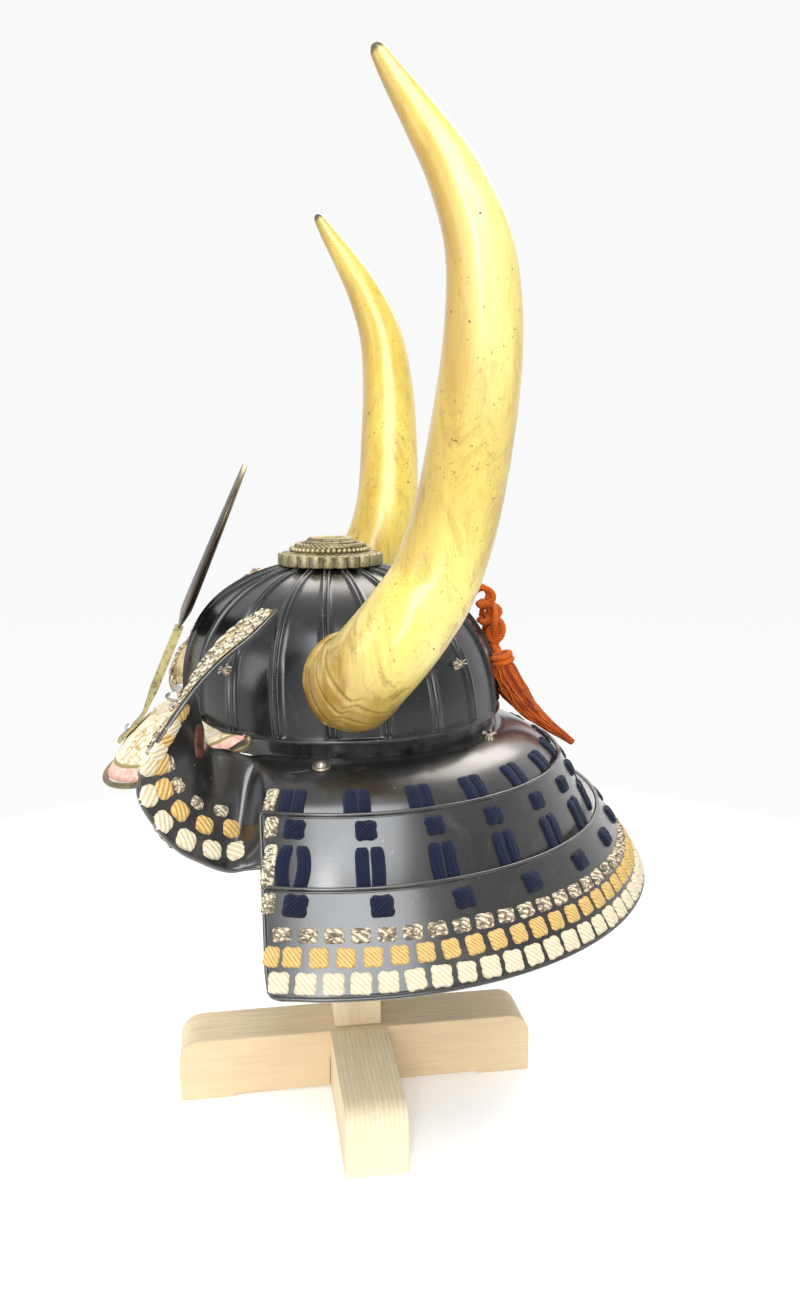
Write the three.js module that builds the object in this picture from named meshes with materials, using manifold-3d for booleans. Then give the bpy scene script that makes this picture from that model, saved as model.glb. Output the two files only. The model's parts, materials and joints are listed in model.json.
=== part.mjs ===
// A kabuto samurai helmet with side horns and a front crest, on a plain wooden stand.
// Millimetres, +Z up. The face opening looks towards -Y and the wearer's left is +X.
import * as THREE from 'three';
import { mergeVertices } from 'three/addons/utils/BufferGeometryUtils.js';
import Module from 'manifold-3d';

const wasm = await Module();
wasm.setup();

// Bowl: an iron bowl of plates joined by raised ribs.
const BOWL_LENGTH = 256;
const BOWL_WIDTH = 254;
const BOWL_HEIGHT = 115.7;
const BOWL_LEAN = 9.3; // how far the crown sits ahead of the rim's centre
const BOWL_ROUND_UP = 2.6; // exponents of the bowl's side curve
const BOWL_ROUND_OUT = 2.08;
const BOWL_WALL = 2.4;
const PLATE_COUNT = 20;
const RIB_WIDTH = 4.4;
const RIB_HEIGHT = 2.2;
const RIM_BEAD = 1.8;
const RIM_BEAD_DEPTH = 4;
const CROWN_HOLE_RADIUS = 15;

// Fit: the gap left between neighbouring pieces, and the space under the bowl's rim.
const FIT = 0.35;
const RIM_HEIGHT = 337;

// Band below the bowl.
const BAND_DEPTH = 18.5;
const BAND_TUCK = 5;
const BAND_WALL = 1.6;
const BAND_TAPER = 5.2;
const BAND_GAP = 1.6; // between the band and the bowl or the top lame

// Crown fitting.
const CROWN_PLATE_RADIUS = 42.6;
const CROWN_PLATE_EDGE = 9;
const CROWN_PLATE_RISE = 2.6;
const CROWN_PETALS = 24;
const CROWN_SCALLOP = 1.6;
const CROWN_RING_RADIUS = 27;
const CROWN_RING_TUBE = 3.2;
const CROWN_TWISTS = 16;
const CROWN_COLLAR_RADIUS = 21;
const CROWN_COLLAR_HEIGHT = 10;

// Brow peak, its rolled rim and its rivets.
const PEAK_HALF_ANGLE = 52;
const PEAK_REACH = 60;
const PEAK_DROP = 54;
const PEAK_HALF_WIDTH = 104;
const PEAK_FLANGE = 12;
const PEAK_END_DEPTH = 8;
const PEAK_WALL = 2;
const PEAK_RIM_TUBE = 2.1;
const PEAK_RIVET_RADIUS = 4.6;
const PEAK_RIVET_HEIGHT = 9;
const PEAK_RIVET_ANGLE = 15;

// Front crest and the prong that holds it.
const PRONG_WIDTH = 17;
const PRONG_THICKNESS = 2.6;
const SOCKET_THICKNESS = 6.8; // of the upright box that takes the crest
const PRONG_FOOT = 27;
const PRONG_HEIGHT = 80;
const CREST_RADIUS = 72;
const CREST_LEAN = 23.6;
const CREST_THICKNESS = 9.6; // on the ridge at the bottom
const CREST_TIP_THICKNESS = 3.4;
const CREST_EDGE_THICKNESS = 2.2;
const CREST_BODY_WIDTH = 30;
const CREST_GAP = 20; // half the opening between the tips, in degrees

// Side horns.
const HORN_BASE_HEIGHT = 40; // base centre above the bowl's rim
const HORN_RISE = 395;
const HORN_SPREAD = 87;
const HORN_SWEEP = 68;
const HORN_BASE_RADIUS = 38;
const HORN_GROOVE = 1.3;
const HORN_SIDES = 12;
const HORN_PEG_RADIUS = 6;
const HORN_PEG_LENGTH = 18;

// Neck guard: widths and lengths are across the outer faces.
const LAME_WALL = 1.6;
const LAME_RIM_WIDTH = 3.4;
const LAME_RIM_HEIGHT = 1.3;
const GUARD_FRONT = 75; // how far ahead of the centre the guard's sides end
const GUARD_TOP_WIDTH = 243;
const GUARD_MIDDLE_WIDTH = 351;
const GUARD_LOWER_WIDTH = 418;
const GUARD_HEM_WIDTH = 500;
const GUARD_TOP_DROP = 15.5; // each drop is below the bowl's rim
const GUARD_MIDDLE_DROP = 38;
const GUARD_LOWER_DROP = 77;
const GUARD_HEM_DROP = 135;
const LAME_HIDDEN_DROP = 14;
const GUARD_TOP_LONGER = 4; // how much more the top edge reaches back than sideways
const GUARD_TOP_BACK = 1.5; // how far the top edge's centre sits behind the rim's
const GUARD_FLARE_RATIO = 0.97; // spread towards the back for each unit sideways
const GUARD_SHIFT_RATIO = 0.02; // how far the centre moves ahead for each unit sideways
const STUD_RADIUS = 4.7;
const STUD_HEIGHT = 5;
const STUD_PLACE = 5.75; // along the top lame, in stations from the back

// Turnbacks: the front ends of the top lame, curled out and up.
const TURNBACK_REACH = 78;
const TURNBACK_FORWARD = 151;
const TURNBACK_RISE = 178;
const LEATHER_THICKNESS = 1;
const LEATHER_GAP = 0.7;

// Rear ring, knotted bow and tassels.
const RING_RADIUS = 9;
const RING_TUBE = 1.5;
const RING_SLACK = 0.8;
const RING_HANG = 30; // degrees below level
const RING_POST_RADIUS = 3.1;
const RING_POST_LENGTH = 10;
const CORD_RADIUS = 3.2;
const BOW_DROP = 50;
const BOW_BACK = 20;
const BOW_SPREAD = 34;
const BOW_LUMP_RADIUS = 8.4;
const TASSEL_LENGTH = 94;
const TASSEL_RADIUS = 11.5;
const TASSEL_SPACING = 44;
const TASSEL_LOCKS = 7;
const TASSEL_SLOPE = 50; // degrees below level

// Stand.
const BEAM_WIDTH = 48.6;
const BEAM_HEIGHT = 52.8;
const SIDE_BEAM_LENGTH = 288;
const FRONT_BEAM_LENGTH = 303;
const BEAM_RECESS = 2.4;
const FOOT_LENGTH = 46;
const BEAM_ROUND = 18;
const POST_WIDTH = 40;
const HEAD_RADIUS = 58;
const HEAD_DEPTH = 30;
const STAND_CENTRE_Y = 7.3; // how far the stand's middle sits behind the rim's centre

const DEGREE = Math.PI / 180;

// Horn centre line on the wearer's left: out from the bowl's side as a share of HORN_SPREAD,
// back as a share of HORN_SWEEP, up as a share of HORN_RISE, and the radius as a share of
// HORN_BASE_RADIUS.
const HORN_LINE = [
  { out: -0.12, back: -0.06, up: 0.0, radius: 1.0 },
  { out: -0.02, back: -0.03, up: 0.006, radius: 0.92 },
  { out: 0.11, back: 0.054, up: 0.029, radius: 0.876 },
  { out: 0.24, back: 0.216, up: 0.069, radius: 0.855 },
  { out: 0.29, back: 0.45, up: 0.123, radius: 0.837 },
  { out: 0.27, back: 0.71, up: 0.192, radius: 0.803 },
  { out: 0.371, back: 0.891, up: 0.299, radius: 0.766 },
  { out: 0.64, back: 0.971, up: 0.443, radius: 0.718 },
  { out: 0.863, back: 0.996, up: 0.584, radius: 0.645 },
  { out: 0.983, back: 0.919, up: 0.706, radius: 0.547 },
  { out: 1.002, back: 0.7, up: 0.804, radius: 0.434 },
  { out: 0.979, back: 0.44, up: 0.877, radius: 0.321 },
  { out: 0.954, back: 0.165, up: 0.945, radius: 0.197 },
  { out: 0.945, back: -0.049, up: 1.0, radius: 0.08 },
];

// Left turnback, from the guard's side to the tip. Inner and outer edges: out is a share of
// TURNBACK_REACH beyond the bowl's side, ahead a share of TURNBACK_FORWARD ahead of the centre,
// up a share of TURNBACK_RISE above the top lame's hem.
const TURNBACK_EDGES = [
  { innerOut: -0.22, innerAhead: 0.53, innerUp: 0.37, outerOut: 0.513, outerAhead: 0.627, outerUp: 0.006 },
  { innerOut: -0.18, innerAhead: 0.629, innerUp: 0.404, outerOut: 0.603, outerAhead: 0.756, outerUp: 0.065 },
  { innerOut: -0.154, innerAhead: 0.713, innerUp: 0.425, outerOut: 0.664, outerAhead: 0.859, outerUp: 0.134 },
  { innerOut: -0.141, innerAhead: 0.737, innerUp: 0.509, outerOut: 0.688, outerAhead: 0.959, outerUp: 0.251 },
  { innerOut: -0.128, innerAhead: 0.753, innerUp: 0.581, outerOut: 0.66, outerAhead: 1.01, outerUp: 0.364 },
  { innerOut: -0.115, innerAhead: 0.765, innerUp: 0.635, outerOut: 0.593, outerAhead: 0.952, outerUp: 0.495 },
  { innerOut: -0.103, innerAhead: 0.763, innerUp: 0.684, outerOut: 0.508, outerAhead: 0.874, outerUp: 0.589 },
  { innerOut: -0.077, innerAhead: 0.719, innerUp: 0.749, outerOut: 0.422, outerAhead: 0.761, outerUp: 0.706 },
  { innerOut: -0.06, innerAhead: 0.65, innerUp: 0.825, outerOut: 0.346, outerAhead: 0.637, outerUp: 0.807 },
  { innerOut: 0.0, innerAhead: 0.54, innerUp: 0.91, outerOut: 0.276, outerAhead: 0.495, outerUp: 0.896 },
  { innerOut: 0.1, innerAhead: 0.425, innerUp: 0.98, outerOut: 0.186, outerAhead: 0.38, outerUp: 0.985 },
];

// How far each ruling of the turnback sags at its middle, as a share of TURNBACK_REACH:
// down, and back towards the bowl's side.
const TURNBACK_SAG = [
  { down: 0.12, back: -0.02 },
  { down: 0.13, back: -0.06 },
  { down: 0.12, back: -0.1 },
  { down: 0.1, back: -0.13 },
  { down: 0.07, back: -0.13 },
  { down: 0.04, back: -0.1 },
  { down: 0.02, back: -0.06 },
  { down: 0.01, back: -0.03 },
  { down: 0.0, back: -0.02 },
  { down: 0.0, back: -0.01 },
  { down: 0.0, back: 0.0 },
];

// Peak section from the flange's top to the outer edge, as shares of PEAK_REACH out from the
// bowl's rim and of PEAK_DROP down from it.
const PEAK_SECTION = [
  { along: 0.0, out: 0.0, down: 0.0 },
  { along: 0.14, out: 0.04, down: -0.04 },
  { along: 0.42, out: 0.42, down: 0.13 },
  { along: 0.72, out: 0.73, down: 0.47 },
  { along: 1.0, out: 1.0, down: 1.0 },
];

function vector(x, y, z) {
  return new THREE.Vector3(x, y, z);
}

function geometryFrom(points, triangles) {
  const positions = new Float32Array(points.length * 3);
  points.forEach((point, i) => positions.set([point.x, point.y, point.z], i * 3));
  const geometry = new THREE.BufferGeometry();
  geometry.setAttribute('position', new THREE.BufferAttribute(positions, 3));
  geometry.setIndex(triangles);
  return geometry;
}

// Fills the strip between two rows of point numbers whose stations may differ.
function stitch(triangles, upper, lower, flip) {
  let i = 0;
  let k = 0;
  while (i < upper.length - 1 || k < lower.length - 1) {
    const onUpper = k === lower.length - 1
      || (i < upper.length - 1 && upper[i + 1].at <= lower[k + 1].at);
    const face = onUpper
      ? [upper[i].id, upper[i + 1].id, lower[k].id]
      : [upper[i].id, lower[k + 1].id, lower[k].id];
    if (flip) {
      face.reverse();
    }
    triangles.push(...face);
    if (onUpper) {
      i += 1;
    } else {
      k += 1;
    }
  }
}

// A closed skin through rings of points. Open stacks are capped with a fan at each end.
function ringSolid(rings, closed = false) {
  const count = rings[0].length;
  const points = rings.flat();
  const triangles = [];
  const bands = closed ? rings.length : rings.length - 1;
  for (let r = 0; r < bands; r += 1) {
    const here = r * count;
    const there = ((r + 1) % rings.length) * count;
    for (let i = 0; i < count; i += 1) {
      const j = (i + 1) % count;
      triangles.push(here + i, here + j, there + j);
      triangles.push(here + i, there + j, there + i);
    }
  }
  if (!closed) {
    [0, rings.length - 1].forEach((r) => {
      const centre = vector(0, 0, 0);
      rings[r].forEach((point) => centre.add(point));
      centre.divideScalar(count);
      const hub = points.push(centre) - 1;
      for (let i = 0; i < count; i += 1) {
        const edge = [r * count + i, r * count + ((i + 1) % count)];
        triangles.push(...(r === 0 ? [hub, edge[1], edge[0]] : [hub, edge[0], edge[1]]));
      }
    });
  }
  return outward(geometryFrom(points, triangles));
}

// Turns a closed skin right side out.
function outward(geometry) {
  const index = geometry.getIndex().array;
  const position = geometry.getAttribute('position');
  const corner = [vector(0, 0, 0), vector(0, 0, 0), vector(0, 0, 0)];
  let volume = 0;
  for (let i = 0; i < index.length; i += 3) {
    corner.forEach((point, k) => point.fromBufferAttribute(position, index[i + k]));
    volume += corner[0].dot(corner[1].clone().cross(corner[2]));
  }
  if (volume < 0) {
    const flipped = [];
    for (let i = 0; i < index.length; i += 3) {
      flipped.push(index[i], index[i + 2], index[i + 1]);
    }
    geometry.setIndex(flipped);
  }
  return geometry;
}

// A plate over a surface: outer and inner faces stand off it along its normal.
function plate({ surface, across, along, outer, inner, innerRows }) {
  const step = 1e-4;
  const points = [];
  const normalAt = (u, v) => {
    const du = surface(Math.min(u + step, 1), v).sub(surface(Math.max(u - step, -1), v));
    const dv = surface(u, Math.min(v + step, 1)).sub(surface(u, Math.max(v - step, 0)));
    return du.cross(dv).normalize();
  };
  const place = (u, v, offset) => {
    const point = surface(u, v).addScaledVector(normalAt(u, v), offset);
    return points.push(point) - 1;
  };
  const outerIds = along.map((v, j) => across.map((u, i) => ({ id: place(u, v, outer(i, j)), at: i })));
  const innerIds = innerRows.map((j) => across.map((u, i) => ({ id: place(u, along[j], inner), at: i })));
  const triangles = [];
  for (let j = 0; j < outerIds.length - 1; j += 1) {
    stitch(triangles, outerIds[j], outerIds[j + 1], false);
  }
  for (let j = 0; j < innerIds.length - 1; j += 1) {
    stitch(triangles, innerIds[j], innerIds[j + 1], true);
  }
  const last = across.length - 1;
  stitch(triangles, outerIds[0], innerIds[0], true);
  stitch(triangles, outerIds.at(-1), innerIds.at(-1), false);
  [0, last].forEach((i) => {
    const outside = outerIds.map((row, j) => ({ id: row[i].id, at: j }));
    const inside = innerIds.map((row, k) => ({ id: row[i].id, at: innerRows[k] }));
    stitch(triangles, outside, inside, i === last);
  });
  return outward(geometryFrom(points, triangles));
}

// A ring of points across a curve, from the ring's own side direction.
function crossRing(centre, direction, side, radius, sides) {
  const up = direction.clone().cross(side).normalize();
  return Array.from({ length: sides }, (_, i) => {
    const angle = (i / sides) * 2 * Math.PI;
    return centre.clone()
      .addScaledVector(side, radius * Math.cos(angle))
      .addScaledVector(up, radius * Math.sin(angle));
  });
}

// A side direction square to a heading, kept as near as can be to an earlier one.
function sideNear(earlier, direction) {
  const side = earlier.clone().addScaledVector(direction, -earlier.dot(direction));
  if (side.length() < 1e-3) {
    side.set(direction.y, direction.z, direction.x).addScaledVector(direction, -side.dot(direction));
  }
  return side.normalize();
}

// A round body along a line of points, its rings turned without twist.
function sweep({ points, radiusAt, sides, firstSide = new THREE.Vector3(1, 0, 0), closed = false }) {
  const last = points.length - 1;
  let side = firstSide;
  const rings = points.map((point, i) => {
    const before = points[closed ? (i + last) % (last + 1) : Math.max(i - 1, 0)];
    const after = points[closed ? (i + 1) % (last + 1) : Math.min(i + 1, last)];
    const direction = after.clone().sub(before).normalize();
    side = sideNear(side, direction);
    return crossRing(point, direction, side, radiusAt(i), sides);
  });
  return ringSolid(rings, closed);
}

function levelRing(z, radiusAt, sides) {
  return Array.from({ length: sides }, (_, i) => {
    const angle = (i / sides) * 2 * Math.PI;
    const radius = radiusAt(angle);
    return vector(radius * Math.cos(angle), radius * Math.sin(angle), z);
  });
}

function toManifold(geometry) {
  const bare = geometry.clone();
  bare.deleteAttribute('normal');
  bare.deleteAttribute('uv');
  const welded = mergeVertices(bare, 1e-4);
  return new wasm.Manifold(new wasm.Mesh({
    numProp: 3,
    vertProperties: new Float32Array(welded.getAttribute('position').array),
    triVerts: new Uint32Array(welded.getIndex().array),
  }));
}

function fromManifold(solid) {
  const mesh = solid.getMesh();
  const geometry = new THREE.BufferGeometry();
  geometry.setAttribute('position', new THREE.BufferAttribute(new Float32Array(mesh.vertProperties), 3));
  geometry.setIndex(Array.from(mesh.triVerts));
  return geometry;
}

function box(width, length, height, centre) {
  const geometry = new THREE.BoxGeometry(width, length, height);
  geometry.translate(centre.x, centre.y, centre.z);
  return geometry;
}

function mirrored(geometry) {
  const copy = geometry.clone();
  copy.scale(-1, 1, 1);
  return outward(copy);
}

// Points around an ellipse: angle 0 is the front, 90 the wearer's left, 180 the back.
function around(angle, halfWidth, halfLength, z, centreY = 0) {
  return vector(
    halfWidth * Math.sin(angle * DEGREE),
    centreY - halfLength * Math.cos(angle * DEGREE),
    z,
  );
}

function bowlShare(u) {
  return (1 - u ** BOWL_ROUND_UP) ** (1 / BOWL_ROUND_OUT);
}

// A point of the bowl's outside, u from 0 at the rim to 1 at the crown, grown by an offset.
function bowlPoint(angle, u, offset) {
  const share = bowlShare(u);
  return around(
    angle,
    (BOWL_WIDTH / 2 + offset) * share,
    (BOWL_LENGTH / 2 + offset) * share,
    RIM_HEIGHT + u * (BOWL_HEIGHT + offset),
    -BOWL_LEAN * u,
  );
}

// Heights of the bowl's rows of corners, as shares of its height.
const BOWL_LEVELS = [0.012, 0.25, 0.47, 0.66, 0.81, 0.91, 0.965];
const BOWL_COARSE_LEVELS = [0.012, 0.4, 0.72, 0.92];

function bowlSolid({ offset, columns, bottom, rows, top }) {
  const levels = [...rows, top];
  const angles = Array.from({ length: columns }, (_, i) => (i / columns) * 360);
  const rings = levels.map((u) => angles.map((angle) => bowlPoint(angle, u, offset)));
  rings.unshift(rings[0].map((point) => vector(point.x, point.y, bottom)));
  return ringSolid(rings);
}

// The bowl grown by a gap, for cutting what stands against its side. It reaches below the rim.
const KEEP_OUT_DEPTH = 60;

function bowlKeepOut(gap) {
  return bowlSolid({ offset: gap, columns: 80, bottom: RIM_HEIGHT - KEEP_OUT_DEPTH, rows: BOWL_LEVELS, top: 0.985 });
}

function makeBowl() {
  const pitch = 360 / PLATE_COUNT;
  const levels = [...BOWL_LEVELS, 0.992];
  const slope = 1.1;
  const columnAngles = (share) => {
    const toDegrees = 360 / (Math.PI * BOWL_WIDTH * share);
    const angles = [];
    for (let k = 0; k < PLATE_COUNT; k += 1) {
      const middle = (k + 0.5) * pitch;
      const crest = (RIB_WIDTH / 2) * toDegrees;
      const foot = (RIB_WIDTH / 2 + slope) * toDegrees;
      angles.push(middle - foot, middle - crest, middle + crest, middle + foot);
    }
    return angles;
  };
  const raised = (i) => (i % 4 === 1 || i % 4 === 2 ? RIB_HEIGHT : 0);
  const rimRing = (z, offset) => columnAngles(1).map((angle) => {
    const point = bowlPoint(angle, 0, offset);
    return vector(point.x, point.y, z);
  });
  const rings = [
    rimRing(RIM_HEIGHT - RIM_BEAD_DEPTH, RIM_BEAD),
    rimRing(RIM_HEIGHT - RIM_BEAD / 2, RIM_BEAD),
  ];
  levels.forEach((u, n) => {
    const last = n === levels.length - 1;
    const share = Math.max(bowlShare(u), (RIB_WIDTH + 3 * slope) / (BOWL_WIDTH * Math.sin(pitch * DEGREE) / 2));
    rings.push(columnAngles(share).map((angle, i) => bowlPoint(angle, u, last ? 0 : raised(i))));
  });
  const outside = toManifold(ringSolid(rings));
  const inside = toManifold(bowlSolid({
    offset: -BOWL_WALL,
    columns: 32,
    bottom: RIM_HEIGHT - 2 * RIM_BEAD_DEPTH,
    rows: BOWL_COARSE_LEVELS,
    top: 0.985,
  }));
  const hole = new THREE.CylinderGeometry(CROWN_HOLE_RADIUS, CROWN_HOLE_RADIUS, 4 * BOWL_WALL + 20, 18);
  hole.rotateX(Math.PI / 2);
  hole.translate(0, -BOWL_LEAN, RIM_HEIGHT + BOWL_HEIGHT);
  return fromManifold(outside.subtract(inside).subtract(toManifold(hole)));
}

// The band hangs inside the bowl's rim, leans in below it and ends inside the top lame.
function makeBand() {
  const sides = 26;
  const angles = Array.from({ length: sides }, (_, i) => (i / sides) * 360);
  const top = RIM_HEIGHT + BAND_TUCK;
  const bowlFoot = RIM_HEIGHT - RIM_BEAD_DEPTH - FIT;
  const lameTop = RIM_HEIGHT - GUARD_TOP_DROP + BAND_GAP;
  const bottom = RIM_HEIGHT - BAND_DEPTH;
  const lean = (BAND_TAPER * (top - bowlFoot)) / (top - bottom);
  const inBowl = (z, inset) => angles.map((angle) => (
    around(angle, BOWL_WIDTH / 2 - inset, BOWL_LENGTH / 2 - inset, z)
  ));
  const inGuard = (z, inset) => angles.map((angle) => (
    guardPoint({ ...guardEdge(GUARD_TOP_WIDTH, 0, -inset), z }, angle)
  ));
  const outside = BOWL_WALL + BAND_GAP;
  const outsideBelow = LAME_WALL + BAND_GAP;
  return ringSolid([
    inBowl(top, outside),
    inBowl(bowlFoot, outside + lean),
    inGuard(lameTop, outsideBelow),
    inGuard(bottom, outsideBelow),
    inGuard(bottom, outsideBelow + BAND_WALL),
    inGuard(lameTop, outsideBelow + BAND_WALL),
    inBowl(bowlFoot, outside + lean + BAND_WALL),
    inBowl(top, outside + BAND_WALL),
  ], true);
}

const crownCentre = vector(0, -BOWL_LEAN, RIM_HEIGHT + BOWL_HEIGHT + FIT);

function placeOnCrown(geometry) {
  geometry.translate(crownCentre.x, crownCentre.y, crownCentre.z);
  return geometry;
}

function crownEdgeBottom() {
  const share = Math.min(CROWN_PLATE_RADIUS / (BOWL_WIDTH / 2), 0.95);
  const u = (1 - share ** BOWL_ROUND_OUT) ** (1 / BOWL_ROUND_UP);
  return (u - 1) * BOWL_HEIGHT + RIB_HEIGHT + FIT;
}

function makeCrownPlate() {
  const sides = CROWN_PETALS * 2;
  const scallop = (radius) => (angle) => radius - CROWN_SCALLOP * (1 - Math.abs(Math.sin(angle * CROWN_PETALS / 2)));
  const round = (radius) => () => radius;
  const bottom = crownEdgeBottom();
  const edgeTop = bottom + CROWN_PLATE_EDGE;
  const top = Math.max(edgeTop + CROWN_PLATE_RISE, CROWN_PLATE_RISE);
  return placeOnCrown(ringSolid([
    levelRing(0, round(CROWN_HOLE_RADIUS), sides),
    levelRing(bottom, scallop(CROWN_PLATE_RADIUS), sides),
    levelRing(edgeTop, scallop(CROWN_PLATE_RADIUS), sides),
    levelRing(edgeTop + 1, scallop(CROWN_PLATE_RADIUS - 1.6), sides),
    levelRing(top, round(CROWN_PLATE_RADIUS * 0.72), sides),
    levelRing(top, round(CROWN_HOLE_RADIUS), sides),
  ], true));
}

function crownPlateTop() {
  return Math.max(crownEdgeBottom() + CROWN_PLATE_EDGE + CROWN_PLATE_RISE, CROWN_PLATE_RISE);
}

function makeCrownRopeRing() {
  const sides = CROWN_TWISTS * 2;
  const section = 5;
  const middle = crownPlateTop() + FIT + CROWN_RING_TUBE * 1.05;
  const rings = Array.from({ length: sides }, (_, i) => {
    const angle = (i / sides) * 2 * Math.PI;
    const tube = CROWN_RING_TUBE * (i % 2 === 0 ? 1 : 0.82);
    return Array.from({ length: section }, (__, k) => {
      const turn = (k / section) * 2 * Math.PI;
      const radius = CROWN_RING_RADIUS + tube * Math.cos(turn);
      return vector(radius * Math.cos(angle), radius * Math.sin(angle), middle + tube * Math.sin(turn));
    });
  });
  return placeOnCrown(ringSolid(rings, true));
}

function makeCrownCollar() {
  const bottom = crownPlateTop() + FIT;
  const sides = 20;
  const outer = Math.min(CROWN_COLLAR_RADIUS, CROWN_RING_RADIUS - CROWN_RING_TUBE - FIT);
  const ring = (z, radius) => levelRing(z, () => radius, sides);
  return placeOnCrown(ringSolid([
    ring(bottom, CROWN_HOLE_RADIUS - 3),
    ring(bottom, outer),
    ring(bottom + CROWN_COLLAR_HEIGHT * 0.55, outer),
    ring(bottom + CROWN_COLLAR_HEIGHT * 0.7, outer - 2),
    ring(bottom + CROWN_COLLAR_HEIGHT, outer - 3.4),
    ring(bottom + CROWN_COLLAR_HEIGHT, CROWN_HOLE_RADIUS - 3),
  ], true));
}

function sectionAt(table, column, along) {
  const next = table.findIndex((row) => row.along >= along);
  if (next <= 0) {
    return table[0][column];
  }
  const a = table[next - 1];
  const b = table[next];
  const share = (along - a.along) / (b.along - a.along);
  return a[column] + (b[column] - a[column]) * share;
}

// The peak's face: u from -1 at its left end to 1 at its right, v from flange to outer edge.
function peakSurface(u, v) {
  const stand = RIM_BEAD + RIB_HEIGHT + FIT + PEAK_WALL;
  const root = around(-u * PEAK_HALF_ANGLE, BOWL_WIDTH / 2 + stand, BOWL_LENGTH / 2 + stand, 0);
  const endY = -(BOWL_LENGTH / 2 + stand) * Math.cos(PEAK_HALF_ANGLE * DEGREE);
  const frontY = -(BOWL_LENGTH / 2 + stand) - PEAK_REACH;
  const turn = u * 90;
  const edge = vector(
    -PEAK_HALF_WIDTH * Math.sin(turn * DEGREE),
    endY - (endY - frontY) * Math.cos(turn * DEGREE),
    0,
  );
  const fade = 1 - u * u;
  const rootZ = RIM_HEIGHT - RIM_BEAD_DEPTH * 0.5 * (1 - fade) + PEAK_FLANGE * fade * fade;
  const edgeZ = RIM_HEIGHT - PEAK_END_DEPTH - (PEAK_DROP - PEAK_END_DEPTH) * fade;
  const out = sectionAt(PEAK_SECTION, 'out', v);
  const down = sectionAt(PEAK_SECTION, 'down', v);
  const point = root.clone().lerp(edge, out);
  const flange = rootZ + (RIM_HEIGHT - rootZ) * Math.min(v / PEAK_SECTION[1].along, 1);
  point.z = flange + (edgeZ - RIM_HEIGHT) * Math.max(down, 0);
  return point;
}

function spread(count) {
  return Array.from({ length: count + 1 }, (_, i) => -1 + (2 * i) / count);
}

// The plate stops short of its edge, where the rolled rim runs.
function peakFace(u, v) {
  const full = peakSurface(u, 0).distanceTo(peakSurface(u, 1));
  const gap = PEAK_RIM_TUBE + FIT + 0.9;
  return peakSurface(u, v * Math.max(1 - gap / full, 0.4));
}

function makePeak() {
  return plate({
    surface: peakFace,
    across: spread(20),
    along: [0, 0.14, 0.42, 0.72, 1],
    outer: () => 0,
    inner: -PEAK_WALL,
    innerRows: [0, 1, 2, 3, 4],
  });
}

function tubeAlong(points, radius, sides) {
  return sweep({ points, radiusAt: () => radius, sides, firstSide: vector(0, 1, 0) });
}

// The rim follows the outer edge and turns up round both ends.
function makePeakRim() {
  const edge = spread(26).map((u) => peakSurface(u, 1));
  const ends = [-1, 1].map((side) => {
    const corner = peakSurface(side, 1);
    const onward = corner.clone().sub(peakSurface(side * 0.97, 1)).setLength(PEAK_RIM_TUBE + FIT + 0.5);
    const root = peakSurface(side, 0.1);
    return [corner.clone().add(onward), root.add(onward)];
  });
  const points = [ends[0][1], ends[0][0], ...edge.slice(1, -1), ends[1][0], ends[1][1]];
  points.forEach((point) => point.addScaledVector(vector(point.x, point.y, 0).normalize(), 0.4));
  return sweep({ points, radiusAt: () => PEAK_RIM_TUBE, sides: 6, firstSide: vector(0, 0, 1) });
}

// A low dome on a face: base centre, outward direction, radius and height.
function dome(base, direction, radius, height, sides = 8) {
  const rows = [[0, 1], [0.45, 0.94], [0.8, 0.66], [1, 0.25]];
  const side = sideNear(vector(1, 0, 0), direction);
  return ringSolid(rows.map(([up, share]) => crossRing(
    base.clone().addScaledVector(direction, up * height),
    direction,
    side,
    radius * share,
    sides,
  )));
}

function peakNormal(u, v) {
  const step = 1e-3;
  const du = peakSurface(u + step, v).sub(peakSurface(u - step, v));
  const dv = peakSurface(u, v + step).sub(peakSurface(u, v - step));
  return du.cross(dv).normalize();
}

function makePeakRivet(side) {
  const u = -side * (PEAK_RIVET_ANGLE / PEAK_HALF_ANGLE);
  const v = 0.06;
  const normal = peakNormal(u, v);
  const base = peakFace(u, v).addScaledVector(normal, FIT + 0.4);
  return dome(base, normal, PEAK_RIVET_RADIUS, PEAK_RIVET_HEIGHT);
}

// The strip runs up the peak's face, then bends up into the prong.
function crestFrame() {
  const foot = peakSurface(0, 0.7);
  const heel = peakSurface(0, 0.46);
  const lift = peakNormal(0, 0.55).multiplyScalar(PRONG_THICKNESS / 2 + 1.1);
  foot.add(lift);
  heel.add(lift);
  const slope = foot.clone().sub(heel).setLength(PRONG_FOOT);
  const toe = heel.clone().add(slope);
  const lean = vector(0, Math.sin(CREST_LEAN * DEGREE), Math.cos(CREST_LEAN * DEGREE));
  const top = heel.clone().addScaledVector(lean, PRONG_HEIGHT);
  return { toe, heel, top, lean };
}

function stripAlong(stations, width) {
  const points = stations.map((station) => station.point);
  const rings = stations.map(({ point, thickness }, i) => {
    const before = points[Math.max(i - 1, 0)];
    const after = points[Math.min(i + 1, points.length - 1)];
    const direction = after.clone().sub(before).normalize();
    const face = direction.clone().cross(vector(1, 0, 0)).multiplyScalar(thickness / 2);
    const half = vector(width / 2, 0, 0);
    return [
      point.clone().add(half).add(face),
      point.clone().sub(half).add(face),
      point.clone().sub(half).sub(face),
      point.clone().add(half).sub(face),
    ];
  });
  return ringSolid(rings);
}

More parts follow.
